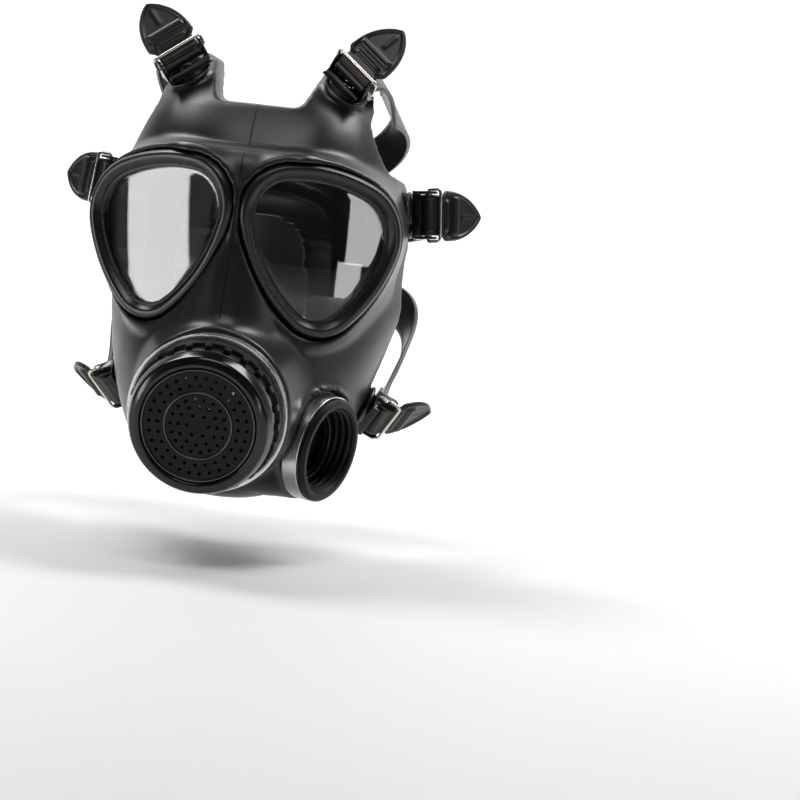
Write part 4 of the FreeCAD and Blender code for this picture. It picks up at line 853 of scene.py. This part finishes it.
def drillTree():
    rows = {}
    for k in range(len(grilleRows)):
        rows["Row Radius " + str(k)], rows["Row Count " + str(k)] = "Float", "Int"
    tree, src, out = newTree("drilledRows", "GeometryNodeTree", {
        "Geometry": "Geometry", "Hole Radius": "Float", "Depth": "Float", "Material": "Material", **rows,
    }, {"Geometry": "Geometry"})
    drill = addNode(tree, "GeometryNodeMeshCylinder", Vertices=12, Radius=src["Hole Radius"],
                    Depth=src["Depth"])
    holes = tree.nodes.new("GeometryNodeJoinGeometry")
    for k in range(len(grilleRows)):
        circle = addNode(tree, "GeometryNodeMeshCircle", Vertices=src["Row Count " + str(k)],
                         Radius=src["Row Radius " + str(k)])
        scatter = addNode(tree, "GeometryNodeInstanceOnPoints", Points=circle.outputs[0],
                          Instance=drill.outputs[0])
        feed(tree, holes.inputs[0], scatter.outputs[0])
    real = addNode(tree, "GeometryNodeRealizeInstances", Geometry=holes.outputs[0])
    cut = tree.nodes.new("GeometryNodeMeshBoolean")
    cut.operation, cut.solver = "DIFFERENCE", "EXACT"
    feed(tree, cut.inputs["Mesh 1"], src["Geometry"])
    feed(tree, cut.inputs["Mesh 2"], real.outputs[0])
    return coated(tree, out, cut.outputs[0], src["Material"])


def runTree(obj, tree, values):
    mod = obj.modifiers.new(tree.name, "NODES")
    mod.node_group = tree
    for item in tree.interface.items_tree:
        if item.item_type == "SOCKET" and item.in_out == "INPUT" and item.name in values:
            mod[item.identifier] = values[item.name]
    return bake(obj)


def moveInto(obj, m):
    n = np.array(m, float)
    n[:3, 3] *= mm
    obj.data.transform(Matrix(n.tolist()))
    return obj


def roundedBlock(name, low, high, radius, material):
    mesh = bpy.data.meshes.new(name)
    b = bmesh.new()
    bmesh.ops.create_cube(b, size=1.0)
    low, high = np.array(low, float), np.array(high, float)
    for v in b.verts:
        v.co = Vector(((low + high) / 2 + np.array(v.co) * (high - low)) * mm)
    bmesh.ops.bevel(b, geom=list(b.edges), offset=radius * mm, segments=3, profile=0.5, affect="EDGES")
    b.to_mesh(mesh)
    b.free()
    mesh.shade_smooth()
    mesh.materials.append(material)
    return linked(name, mesh)


home = np.eye(4)


def buildFrontUnit():
    s = unitSizes
    steel = turnedMaterial("bandSteelFront", turned, valveFrame)
    g, r, h = s["bandGauge"], s["sleeve"], s["bandHalf"]
    band = lathe("bandFront", ((r + 0.02, -h), (r + g, -h, 0.35), (r + g - 0.15, -h + 1.0, 0.4),
                               (r + g - 0.15, h - 1.0, 0.4), (r + g + 1.3, h + 0.2, 0.3),
                               (r + g + 1.2, h + 0.5, 0.2), (r + 0.02, h + 0.3)), 0.1, valveFrame, steel, 160)
    settle(band, "root", "bright_band", "front_clamp_band")
    housing = lathe("housingTurned", (
        (s["boreGap"], s["back"]), (s["boreGap"], s["seatEnd"] - 0.01), (s["flange"], s["seatEnd"] + 0.02),
        (s["flange"], s["flangeEnd"] - 0.02), (s["nose"], s["flangeEnd"] - 0.02), (s["nose"], s["noseEnd"]),
        (s["bore"], s["noseEnd"]), (s["bore"], 1.0), (0, 1.0), (0, -2.0), (27.2, -2.0), (27.2, s["back"])),
        0.35, valveFrame, paint["matteBlack"], 128)
    for side in (1, -1):
        m = valveFrame @ shift(0, side * s["windowOff"], 0)
        outline = ((0, -6), (s["window"], -6), (s["window"], 6), (0, 6))
        cutWith(housing, lathe("windowPlug", outline, 0.05, m, paint["matteBlack"], 64))
    settle(housing, "root", "black_matte", "speech_housing")
    ring = lathe("lockRing", ((s["nose"] + 0.1, s["flangeEnd"] + 0.02),
                              (s["ringRadius"], s["flangeEnd"] + 0.02, 0.5),
                              (s["ringRadius"], s["flangeEnd"] + 2.0, 0.3),
                              (s["ringRadius"] - s["lugDeep"], s["flangeEnd"] + 2.2, 0.3),
                              (s["ringRadius"] - s["lugDeep"], s["ringEnd"] - 0.4, 0.5),
                              (s["nose"] + 0.1, s["ringEnd"] - 0.4)),
                 0.3, home, paint["matteBlack"], 120)
    lug = roundedBlock("ringLug", (-s["lugDeep"] - 0.6, -s["lugWide"] / 2, 0), (0, s["lugWide"] / 2, 4.6),
                       0.45, paint["matteBlack"])
    ring = runTree(ring, ringTree(), {"Copy": lug, "Count": s["lugCount"], "Radius": s["ringRadius"] * mm,
                                      "Height": (s["flangeEnd"] + 1.7) * mm, "Material": paint["matteBlack"]})
    bpy.data.objects.remove(lug)
    settle(moveInto(ring, valveFrame), "lock_ring_body", "black_matte", "lock_ring")
    c, f, low = s["coverRadius"], s["coverFront"], s["grilleLow"]
    cover = lathe("outletCover", (
        (s["nose"] + 0.1, s["coverStart"], 0.3), (c - 0.5, s["coverStart"], 0.4),
        (c, s["coverStart"] + 1.4, 0.5), (c, f - 7.0, 3.0), (c - 1.8, f - 1.6, 3.2), (c - 5.0, f + 0.2, 2.2),
        (s["grille"] + 0.9, f - 0.2, 0.7), (s["grille"] + 0.1, f - 1.4, 0.3), (s["grille"] + 0.1, low, 0.1),
        (s["grille"] - 1.5, low, 0.2), (s["grille"] - 1.5, low - 1.0, 0.2), (28.2, low - 1.0, 0.3),
        (28.2, 21.25, 0.2), (s["nose"] + 0.1, 21.25, 0.2)),
        0.3, valveFrame, paint["glossBlack"], 160, steps=6)
    settle(cover, "root", "black_gloss", "outlet_cover")
    gr, gt = s["grille"], s["grilleThick"]
    plate = lathe("outletGrille", (
        (0, 0), (gr, 0), (gr, gt, 0.3), (gr - 0.9, gt, 0.1), (gr - 1.3, gt - 0.55, 0.2),
        (16.3, gt - 0.5, 0.1), (15.9, gt - 0.05, 0.2), (15.1, gt - 0.05, 0.2), (14.7, gt - 0.5, 0.1),
        (0, gt - 0.35)), 0.1, home, paint["matteBlack"], 128, steps=3)
    values = {"Hole Radius": 0.85 * mm, "Depth": 9 * mm, "Material": paint["matteBlack"]}
    for k, (radius, count) in enumerate(grilleRows):
        values["Row Radius " + str(k)] = radius * mm
        values["Row Count " + str(k)] = count
    plate = runTree(plate, drillTree(), values)
    plate = sharpen(moveInto(plate, valveFrame @ shift(0, 0, low)))
    for radius in (15.5, gr - 0.45):
        bead = lathe("bead", ((radius - 0.32, gt - 0.3, 0.1), (radius - 0.32, gt + 0.22, 0.3),
                              (radius + 0.32, gt + 0.22, 0.3), (radius + 0.32, gt - 0.3, 0.1)), 0.1,
                              valveFrame @ shift(0, 0, low), paint["beadGrey"], 128)
        plate = join("outletGrille", [plate, bead])
    settle(plate, "root", "black_matte", "outlet_grille")


def shift(x, y, z):
    m = np.eye(4)
    m[:3, 3] = (x, y, z)
    return m


buildFrontUnit()
print("front unit made")


# filter connector

port = {"neckGap": 23.5, "back": -18.0, "lip": 25.2, "lipThick": 2.8, "crest": 19.05, "root": 20.25,
        "pitch": 3.629, "threadTop": -0.9, "threadBack": 20.32, "floor": -13.0, "air": 14.5, "band": 25.0,
        "bandTop": -3.3, "bandWide": 8.0, "washer": 1.8}


def buildPort():
    s = port
    body = lathe("connectorBody", (
        (s["neckGap"], s["back"]), (s["neckGap"], -s["lipThick"] - 0.01),
        (s["lip"] - 0.4, -s["lipThick"] - 0.01, 0.3), (s["lip"], -1.6, 0.5),
        (s["lip"] - 1.6, 0, 0.9), (21.4, 0, 0.5), (20.35, -1.2, 0.2), (20.3, s["floor"]),
        (s["air"], s["floor"], 0.2), (s["air"], s["floor"] - 2.0, 0.2), (17.0, s["floor"] - 2.0, 0.2),
        (17.0, s["back"])), 0.3, portFrame, paint["matteBlack"], 128)
    turns, rows = 128, 72
    low, top = s["floor"] + s["washer"], s["threadTop"]
    z = np.linspace(low, top, rows)
    fade = smoothStep(0, 1.2, top - z) * smoothStep(0, 0.6, z - s["floor"] - s["washer"])
    lines = []
    for k in range(turns + 1):
        a = 2 * math.pi * k / turns
        phase = (z / s["pitch"] - k / turns) % 1.0
        depth = np.cos(2 * math.pi * phase) * 0.5 + 0.5
        r = s["root"] - (s["root"] - s["crest"]) * np.clip(depth * 1.25, 0, 1) * fade
        back = np.full(rows, s["threadBack"])
        lines += [np.stack([r * math.cos(a), r * math.sin(a), z], 1),
                  np.stack([back * math.cos(a), back * math.sin(a), z], 1)[::-1]]
    points = place(np.concatenate(lines), portFrame)
    thread = newObject("connectorThread", points, gridFaces(turns + 1, rows * 2, False, True),
                       paint["matteBlack"], merge=1e-3)
    settle(join("connectorPart", [body, thread]), "root", "black_matte", "filter_connector")
    steel = turnedMaterial("bandSteelPort", turned, portFrame)
    r, t, w = s["band"], s["bandTop"], s["bandWide"]
    band = lathe("bandPort", ((r + 0.02, t - w), (r + 0.8, t - w, 0.3), (r + 0.68, t - w + 0.9, 0.3),
                              (r + 0.68, t - 0.9, 0.3), (r + 0.8, t, 0.3), (r + 0.02, t)),
                 0.1, portFrame, steel, 128)
    settle(band, "root", "bright_band", "connector_band")
    washer = lathe("connectorWasher", ((16.0, s["floor"] + 0.02), (18.95, s["floor"] + 0.02),
                                       (18.95, s["floor"] + s["washer"]), (16.0, s["floor"] + s["washer"])),
                   0.5, portFrame, paint["strapRubber"], 96)
    settle(washer, "root", "strap_rubber", "connector_gasket")


buildPort()
print("connector made")


# nose cup

cup = {"neck": 24.0, "wall": 1.8, "wide": 32.0, "tall": 43.0, "edge": -50.0, "drop": -58.0, "back": -13.3,
       "valveRadius": 9.0, "valve": (25.2, -63.0, -52.0), "valveOut": (0.93, -0.30, 0.20),
       "lipTurn": ((0.5, 0.9), (1.4, 1.5), (2.4, 1.4), (3.2, 0.7), (3.4, 0.1), (2.8, -0.3), (1.6, 0.1),
                   (0.2, -0.3))}


def cupRing(half, tall, z, y, narrow, grow, turns=96):
    t = 2 * math.pi * np.arange(turns) / turns
    squeeze = 1 - narrow * (1 + np.sin(t)) / 2
    ring = np.stack([half * squeeze * np.cos(t), np.full(turns, y), z + tall * np.sin(t)], 1)
    out = np.roll(ring, -1, 0) - np.roll(ring, 1, 0)
    out = np.stack([out[:, 2], np.zeros(turns), -out[:, 0]], 1)
    return ring + grow * out / np.linalg.norm(out, axis=1)[:, None]


def buildNoseCup():
    s = cup
    start = place([[0, 0, s["back"]]], valveFrame)[0]
    y0 = start[1] + 4.0
    keys = np.array(((s["neck"], s["neck"], start[2] + 1, y0, 0.0),
                     (s["neck"] + 2.5, s["neck"] + 6, start[2] + 5, y0 + 9, 0.08),
                     (s["wide"] - 1.5, s["tall"] - 5, s["drop"] - 3, (y0 + s["edge"]) / 2 + 4, 0.3),
                     (s["wide"], s["tall"], s["drop"], s["edge"], 0.42)))
    rows = curveThrough(keys, 8)
    loops = [cupRing(*row, 0.0) for row in rows]
    last = rows[-1].copy()
    for grow, back in s["lipTurn"]:
        row = last.copy()
        row[3] += back
        loops.append(cupRing(*row, grow))
    loops += [cupRing(*row, -s["wall"]) for row in rows[::-1]]
    faces = gridFaces(len(loops), len(loops[0]), True, True)
    obj = newObject("noseCupSoft", np.concatenate(loops), faces, paint["cupSilicone"], merge=1e-3)
    for sign in (1, -1):
        out = np.array(s["valveOut"]) * (sign, 1, 1)
        m = makeFrame(np.array(s["valve"]) * (sign, 1, 1), up, out)
        outline = ((0, -10), (s["valveRadius"], -10), (s["valveRadius"], 10), (0, 10))
        cutWith(obj, lathe("cupDrill", outline, 0, m, paint["cupSilicone"], 48))
    obj.data.shade_smooth()
    sharpen(obj, 50)
    settle(obj, "root", "cup_silicone", "nose_cup")


buildNoseCup()
print("nose cup made")


# buckles, straps and tails

buckle = {"rise": 1.0, "disc": 3.2, "discRadius": 11.6, "plate": 1.2, "plateLong": 15.0, "earInner": 10.6,
          "ear": 1.2, "earWide": 9.0, "earRound": 4.4, "bar": 1.8, "rivetHead": 2.8, "wire": 0.8,
          "wireReach": 3.0, "strapGap": 0.3}
strap = {"wide": 20.0, "thick": 2.2, "runOut": 9.0, "lead": 0.22}
tail = {"long": 32.0, "wide": 25.0, "neck": 5.5, "shoulder": 3.5, "sink": 0.55, "borderRise": 0.35,
        "edgeRound": 0.6, "blend": 5.0,
        "ribs": ((8.6, 1.5, 1.3, 8.2), (14.0, 2.4, 2.3, 10.4))}  # each: place, half width, height, reach
head = {"half": 71.0, "deep": 92.0, "tall": 100.0, "back": 36.0, "lift": 2.0, "padThick": 2.6}
pad = {"wide": 96.0, "tall": 92.0, "rise": 4.0}
strapWays = {"top": ((22.0, 38.0), (52.0, 40.0, 62.0)), "temple": ((38.0, 8.0), (74.0, 55.0, 17.0)),
             "lower": ((26.0, -27.0), (74.0, 50.0, -42.0))}
discTop = buckle["rise"] + buckle["disc"]
plateTop = discTop + buckle["plate"]


def onHead(p, lift):
    c = np.array([0, head["back"], 0])
    ray = np.asarray(p, float) - c
    level = math.sqrt((ray[0] / head["half"]) ** 2 + (ray[1] / head["deep"]) ** 2
                      + (ray[2] / head["tall"]) ** 2)
    return c + ray * max(1.0, (1 + lift / (np.linalg.norm(ray) / level)) / level)


def headNormal(p):
    return unit([p[0] / head["half"] ** 2, (p[1] - head["back"]) / head["deep"] ** 2,
                 p[2] / head["tall"] ** 2])


def buildBuckle(tag):
    m = anchorFrame(tag)
    s = buckle
    r = s["discRadius"]
    button = lathe("button_" + tag, ((0, s["rise"] + 0.02), (r - 0.6, s["rise"] + 0.02), (r, s["rise"] + 0.6),
                                     (r, s["rise"] + 1.5), (r - 1.0, s["rise"] + 2.1),
                                     (r - 2.6, s["rise"] + 2.2), (r - 3.2, discTop), (0, discTop)),
                   0.5, m, paint["rimRubber"], 72)
    settle(button, "root", "strap_rubber", "anchor_button_" + tag)
    long, inn, ear = s["plateLong"], s["earInner"], s["ear"]
    out = inn + ear
    parts = [roundedBlock("plate", (-long / 2, -out, discTop), (long / 2, out, plateTop), 0.35,
                          paint["glossBlack"]),
             roundedBlock("guard", (-long / 2, -inn, discTop + 0.4), (-long / 2 + 1.2, inn, discTop + 4.2),
                          0.4, paint["glossBlack"])]
    for low in (-out, inn):
        w, r = s["earWide"] / 2, s["earRound"]
        outline = roundedOutline(((-w, discTop, 0.5), (w, discTop, 0.5), (w, barHeight, r),
                                  (w, barHeight + r, r), (-w, barHeight + r, r), (-w, barHeight, r)), 0.5, 8)
        inset = []
        for y, shrink in ((low, 0.3), (low + 0.3, 0), (low + ear - 0.3, 0), (low + ear, 0.3)):
            q = outline - rowUnits(outline - outline.mean(0)) * shrink
            inset.append(np.stack([q[:, 0], np.full(len(q), y), q[:, 1]], 1))
        n = len(outline)
        faces = gridFaces(4, n, False, True) + [tuple(range(n)), tuple(3 * n + k for k in range(n))[::-1]]
        parts.append(newObject("ear", np.concatenate(inset), faces, paint["glossBlack"], merge=1e-4))
    yFrame = makeFrame([0, 0, barHeight], [1, 0, 0], [0, 1, 0])
    parts.append(lathe("bar", ((0, -out), (s["bar"], -out), (s["bar"], out), (0, out)), 0.2, yFrame,
                       paint["polished"], 32))
    frameObj = join("buckle_" + tag, parts)
    settle(moveInto(frameObj, m), "root", "black_gloss", "buckle_frame_" + tag)
    centre = np.array([0, 0, barHeight])
    off = s["bar"] + s["strapGap"] + strap["thick"] + s["wire"] + 0.15
    reach = centre + tailFront * off + tailAlong * s["wireReach"]
    armY = out + s["wire"] + 0.3
    corners = [(centre + [0, k * (out - 0.5), 0], centre + [0, k * armY, 0], reach + [0, k * armY, 0])
               for k in (-1, 1)]
    path = bentPath([*corners[0], *corners[1][::-1]], 1.6)
    wire = tube("keeper_" + tag, place(path, m), s["wire"], paint["nickelWire"])
    settle(wire, "keeper_" + tag + "_body", "wire_steel", "keeper_wire_" + tag)
    rivet = lathe("rivet_" + tag, ((0, discTop), (s["rivetHead"], plateTop + 0.02, 0.1),
                                   (s["rivetHead"] - 0.3, plateTop + 0.6, 0.5), (0.8, plateTop + 1.0, 0.4),
                                   (0, plateTop + 1.0)), 0.1, m, paint["polished"], 32)
    return rivet


def bentPath(points, radius, steps=5):
    p = [np.asarray(q, float) for q in points]
    out = [p[0]]
    for a, b, c in zip(p, p[1:], p[2:]):
        u, v = unit(a - b), unit(c - b)
        angle = math.acos(np.clip(u @ v, -1, 1))
        cut = min(radius / math.tan(angle / 2), np.linalg.norm(a - b) * 0.45, np.linalg.norm(c - b) * 0.45)
        r = cut * math.tan(angle / 2)
        mid = b + unit(u + v) * (r / math.sin(angle / 2))
        s, e = unit(b + u * cut - mid), unit(b + v * cut - mid)
        w = math.acos(np.clip(s @ e, -1, 1))
        for k in range(steps + 1):
            t = k / steps
            out.append(mid + r * (math.sin((1 - t) * w) * s + math.sin(t * w) * e) / math.sin(w))
    out.append(p[-1])
    return np.array(out)


def tube(name, path, radius, material, sides=14):
    t = 2 * math.pi * np.arange(sides) / sides
    ahead = np.gradient(path, axis=0)
    ahead /= np.linalg.norm(ahead, axis=1)[:, None]
    side = np.cross(ahead[0], up if abs(ahead[0] @ up) < 0.9 else [1, 0, 0])
    rows = []
    for a in ahead:
        side = unit(side - a * (side @ a))
        rows.append(side)
    section = np.stack([np.cos(t), np.sin(t)], 1) * radius
    return sweep(name, path, np.array(rows), section, material)


def bandSection(wide, thick, groove=0.25):
    h, t = wide / 2, thick / 2
    return roundedOutline(((-h, -t), (h, -t), (h, t), (h - 2.0, t, 0.2), (h - 2.3, t - groove, 0.2),
                           (-h + 2.3, t - groove, 0.2), (-h + 2.0, t, 0.2), (-h, t)), 0.55, 3)


def strapPath(tag):
    name, sideName = tag.split("_")
    sign = sides[sideName]
    m = anchorFrame(tag)
    (padSide, padHeight), way = strapWays[name]
    inner = buckle["bar"] + buckle["strapGap"] + strap["thick"] / 2
    angles = np.linspace(math.atan2(tailFront[2], tailFront[0]), math.radians(270), 13)
    hook = [[math.cos(a) * inner, 0, barHeight + math.sin(a) * inner] for a in angles]
    hook += [[x, 0, barHeight - inner] for x in (3.0, 6.0)]
    start = place([[strap["runOut"], 0, barHeight - inner]], m)[0]
    heading, normal = m[:3, 0], m[:3, 2]
    share = (padSide / head["half"]) ** 2 + (padHeight / head["tall"]) ** 2
    end = onHead([padSide, head["back"] + head["deep"] * math.sqrt(1 - share), padHeight],
                 head["lift"] + head["padThick"] / 2)
    end = end * (sign, 1, 1)
    middle = np.array(way) * (sign, 1, 1)
    lead = start + heading * np.linalg.norm(end - start) * strap["lead"]
    pull = (middle * 8 - start - lead * 3 - end) / 3
    lowLift = head["lift"] + strap["thick"] / 2
    topLift = head["lift"] + head["padThick"] + strap["thick"] / 2 + 0.05
    route, ups = [], []
    for t in np.linspace(0, 1, 40):
        p = start * (1 - t) ** 3 + lead * (3 * t * (1 - t) ** 2) + pull * (3 * t * t * (1 - t)) + end * t**3
        p = onHead(p, lowLift + (topLift - lowLift) * t)
        blend = min(1.0, t * 3)
        route.append(p)
        ups.append(unit(normal * (1 - blend) + headNormal(p) * blend))
    hook = place(hook, m)
    radial = [unit(p - place([[0, 0, barHeight]], m)[0]) for p in hook[:-2]]
    ups = np.array(radial + [-normal, -normal] + [-u for u in ups])
    return np.concatenate([hook, route]), ups


def buildStrap(tag):
    path, ups = strapPath(tag)
    across = np.cross(ups, np.gradient(path, axis=0))
    section = bandSection(strap["wide"], strap["thick"])
    band = sweep("strapBand_" + tag, path, across, section, paint["strapRubber"])
    settle(band, "root", "strap_rubber", "strap_" + tag)


def leafHalf(x):
    s = tail
    root, wide = strap["wide"] / 2, s["wide"] / 2
    grow = root + (wide - root) * smoothStep(s["neck"], s["neck"] + s["shoulder"], x)
    t = np.clip((x - s["neck"] - s["shoulder"]) / (s["long"] - s["neck"] - s["shoulder"]), 0, 1)
    return np.maximum(grow * (1 - t**2.3) ** 0.75, 0.02)


def buildTail(tag):
    m = anchorFrame(tag)
    off = buckle["bar"] + buckle["strapGap"] + strap["thick"] / 2
    leafFrame = m @ makeFrame(np.array([0, 0, barHeight]) + tailFront * off, tailAlong, tailFront)
    long, t = tail["long"], strap["thick"] / 2
    tip = long * 0.1 * (1 - np.linspace(0, 1, 14)[1:]) ** 1.6
    xs = np.concatenate([np.linspace(0.02, long * 0.9, 84), long - tip])
    vs = np.sin(np.linspace(-math.pi / 2, math.pi / 2, 41))
    rows = []
    for x in xs:
        half = float(leafHalf(x))
        slope = abs(float(leafHalf(x + 0.2) - leafHalf(x - 0.2))) / 0.4
        edge = (1 - np.abs(vs)) * half / math.sqrt(1 + slope * slope)
        border = smoothStep(0.0, 0.7, edge) * (1 - smoothStep(1.7, 2.5, edge)) * smoothStep(5, 8, x)
        top = t - tail["sink"] * smoothStep(4, 7, x) * (1 - border) + tail["borderRise"] * border
        inside = smoothStep(1.6, 2.6, edge)
        for middle, wide, high, reach in tail["ribs"]:
            rib = np.sqrt(np.clip(1 - ((x - middle) / wide) ** 2, 0, 1)) * high
            top = top + rib * inside * (1 - smoothStep(reach - 1.5, reach, np.abs(vs) * half))
        ridge = np.exp(-((vs * half) / 1.0) ** 2) * tail["borderRise"] * smoothStep(17.5, 20, x)
        top = top + ridge * (1 - smoothStep(long - 6, long - 3, x))
        roundOff = tail["edgeRound"] * (1 - smoothStep(0, 0.8, edge))
        upper = np.stack([np.full(len(vs), x), vs * half, top - roundOff], 1)
        lower = np.stack([np.full(len(vs), x), vs * half, -t + roundOff], 1)[::-1]
        rows.append(np.concatenate([upper, lower]))
    n = len(rows[0])
    faces = gridFaces(len(rows), n, False, True)
    for base in (0, (len(rows) - 1) * n):
        for k in range(len(vs) - 1):
            quad = (base + k, base + k + 1, base + n - 2 - k, base + n - 1 - k)
            faces.append(quad if base else quad[::-1])
    points = place(np.concatenate(rows), leafFrame)
    leaf = newObject("tailLeaf_" + tag, points, faces, paint["strapRubber"], merge=1e-3)
    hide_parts("strap_tail_" + tag)
    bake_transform(leaf)


def buildPad():
    s = pad
    rings, turns = 14, 96
    t = 2 * math.pi * np.arange(turns) / turns
    loops = []
    low, high = head["lift"], head["lift"] + head["padThick"]
    def ringAt(share, lift):
        r = (np.abs(np.cos(t)) ** 2.6 + np.abs(np.sin(t)) ** 2.6) ** (-1 / 2.6)
        x, z = s["wide"] / 2 * r * share * np.cos(t), s["rise"] + s["tall"] / 2 * r * share * np.sin(t)
        y = head["back"] + head["deep"] * np.sqrt(1 - (x / head["half"]) ** 2 - (z / head["tall"]) ** 2)
        return np.array([onHead([a, b, c], lift) for a, b, c in zip(x, y, z)])
    for share in np.linspace(0.0, 0.97, rings):
        rib = 0.5 * math.exp(-((share - 0.86) / 0.05) ** 2)
        loops.append(ringAt(max(share, 1e-4), high - 0.3 + rib))
    for share, lift in ((0.99, high - 0.5), (1.0, high - 0.9), (1.0, low + 0.7), (0.99, low + 0.2)):
        loops.append(ringAt(share, lift))
    for share in np.linspace(0.97, 0.0, rings):
        loops.append(ringAt(max(share, 1e-4), low))
    obj = newObject("headPadRubber", np.concatenate(loops), gridFaces(len(loops), turns, False, True),
                    paint["strapRubber"], merge=0.05)
    settle(obj, "root", "strap_rubber", "head_pad")


rivets = []
for tag in anchorTags:
    rivets.append(buildBuckle(tag))
    buildStrap(tag)
    buildTail(tag)
settle(join("rivetHeads", rivets), "root", "rivet_steel", "buckle_rivets")
buildPad()
print("harness made")


# plain inner parts keep their CAD shape

innerFinish = {
    "valveRubber": ("cover_seal", "exhale_flap", "cup_valve_flap_left", "cup_valve_flap_right"),
    "paleSeat": ("exhale_seat", "cup_valve_seat_left", "cup_valve_seat_right"),
    "matteBlack": ("inhale_seat",), "strapRubber": ("inhale_flap",), "amberFoil": ("speech_diaphragm",),
    "polished": ("diaphragm_ring",),
}
for finish, nodes in innerFinish.items():
    for node in nodes:
        mesh = frame["nodes"][node].data
        mesh.materials.clear()
        mesh.materials.append(paint[finish])


# stage, light and camera

camera = {"turn": 5.35, "rise": 4.94, "roll": 6.27, "far": 1329.81, "right": 68.85, "down": 79.94,
          "lens": 120.45}
floorHeight = -150.0


def plainMaterial(name, colour, rough):
    mat, _, _ = newMaterial(name, {"Base Color": (*colour, 1), "Roughness": rough})
    return mat


def buildStage():
    half, back, bend = 3400.0, 900.0, 500.0
    profile = [(-half, 0.0)] + [(back + bend * math.sin(a), bend * (1 - math.cos(a)))
                                for a in np.linspace(0, math.pi / 2, 12)]
    profile.append((back + bend, 2600.0))
    points = [(x, y, z + floorHeight) for y, z in profile for x in (-half, half)]
    pale = plainMaterial("paleFloor", (0.86, 0.86, 0.87), 0.6)
    newObject("studioFloor", points, gridFaces(len(profile), 2), pale)
    reach, foot, turns = 2400.0, 900.0, 72  # a wall all round, for the views from the sides and the back
    wall = [(reach + foot * math.sin(a), 0.2 + foot * (1 - math.cos(a)))
            for a in np.linspace(0, math.pi / 2, 14)]
    wall.append((reach + foot, 2600.0))
    around = np.linspace(0, 2 * math.pi, turns, endpoint=False)
    points = [(r * math.cos(a), r * math.sin(a), z + floorHeight) for r, z in wall for a in around]
    newObject("studioWall", points, gridFaces(len(wall), turns, False, True),
                       plainMaterial("greyWall", (0.27, 0.27, 0.275), 0.7))


def softbox(name, centre, target, wide, tall, power, turn=0.0):
    light = bpy.data.lights.new(name, "AREA")
    light.shape, light.size, light.size_y, light.energy = "RECTANGLE", wide * mm, tall * mm, power
    obj = bpy.data.objects.new(name, light)
    bpy.context.scene.collection.objects.link(obj)
    centre, target = Vector(centre) * mm, Vector(target) * mm
    aim = (centre - target).to_track_quat("Z", "Y").to_matrix().to_4x4()
    obj.matrix_world = Matrix.Translation(centre) @ aim @ Matrix.Rotation(math.radians(turn), 4, "Z")


def buildLight():
    world = bpy.data.worlds.new("studio")
    bpy.context.scene.world = world
    world.use_nodes = True
    back = world.node_tree.nodes["Background"]
    back.inputs["Color"].default_value = (1, 1, 1, 1)
    back.inputs["Strength"].default_value = 0.03
    for light in lights:
        softbox(*light)


lights = (
    ("keyTop", (60, -700, 1300), (0, -40, 10), 760, 560, 4.4),
    ("fillLeft", (-1250, -850, 350), (0, -40, -20), 300, 1000, 0.2),
    ("rimRight", (1200, 250, 500), (0, 0, 0), 260, 900, 0.9),
    ("backdropLeft", (-900, 500, 1500), (-300, 1100, 300), 900, 900, 24),
    ("backdropRight", (900, 500, 1500), (300, 1100, 300), 900, 900, 24),
    ("paneCard", (-621, -438, -15), (-40, -74, 0), 104, 250, 0.64, 6.8),
    ("stripCard", (919, -968, 45), (40, -74, 0), 88, 230, 0.34),
    ("stripFoot", (897, -990, -115), (40, -74, 0), 60, 100, 0.1),
)


def buildCamera():
    a, e, roll = (math.radians(camera[k]) for k in ("turn", "rise", "roll"))
    b = np.array([math.sin(a) * math.cos(e), -math.cos(a) * math.cos(e), math.sin(e)])
    r = np.array([math.cos(a), math.sin(a), 0])
    u = np.cross(b, r)
    right, top = math.cos(roll) * r + math.sin(roll) * u, -math.sin(roll) * r + math.cos(roll) * u
    spot = camera["right"] * right - camera["down"] * top + camera["far"] * b
    m = np.eye(4)
    m[:3, 0], m[:3, 1], m[:3, 2], m[:3, 3] = right, top, b, spot * mm
    cam = bpy.data.cameras.new("studioCamera")
    cam.lens, cam.sensor_width, cam.clip_start, cam.clip_end = camera["lens"], 36.0, 0.05, 30.0
    obj = bpy.data.objects.new("studioCamera", cam)
    obj.matrix_world = Matrix(m.tolist())
    bpy.context.scene.collection.objects.link(obj)
    bpy.context.scene.camera = obj


buildStage()
buildLight()
buildCamera()
scene = bpy.context.scene
scene.view_settings.view_transform = "Standard"
print("stage set")
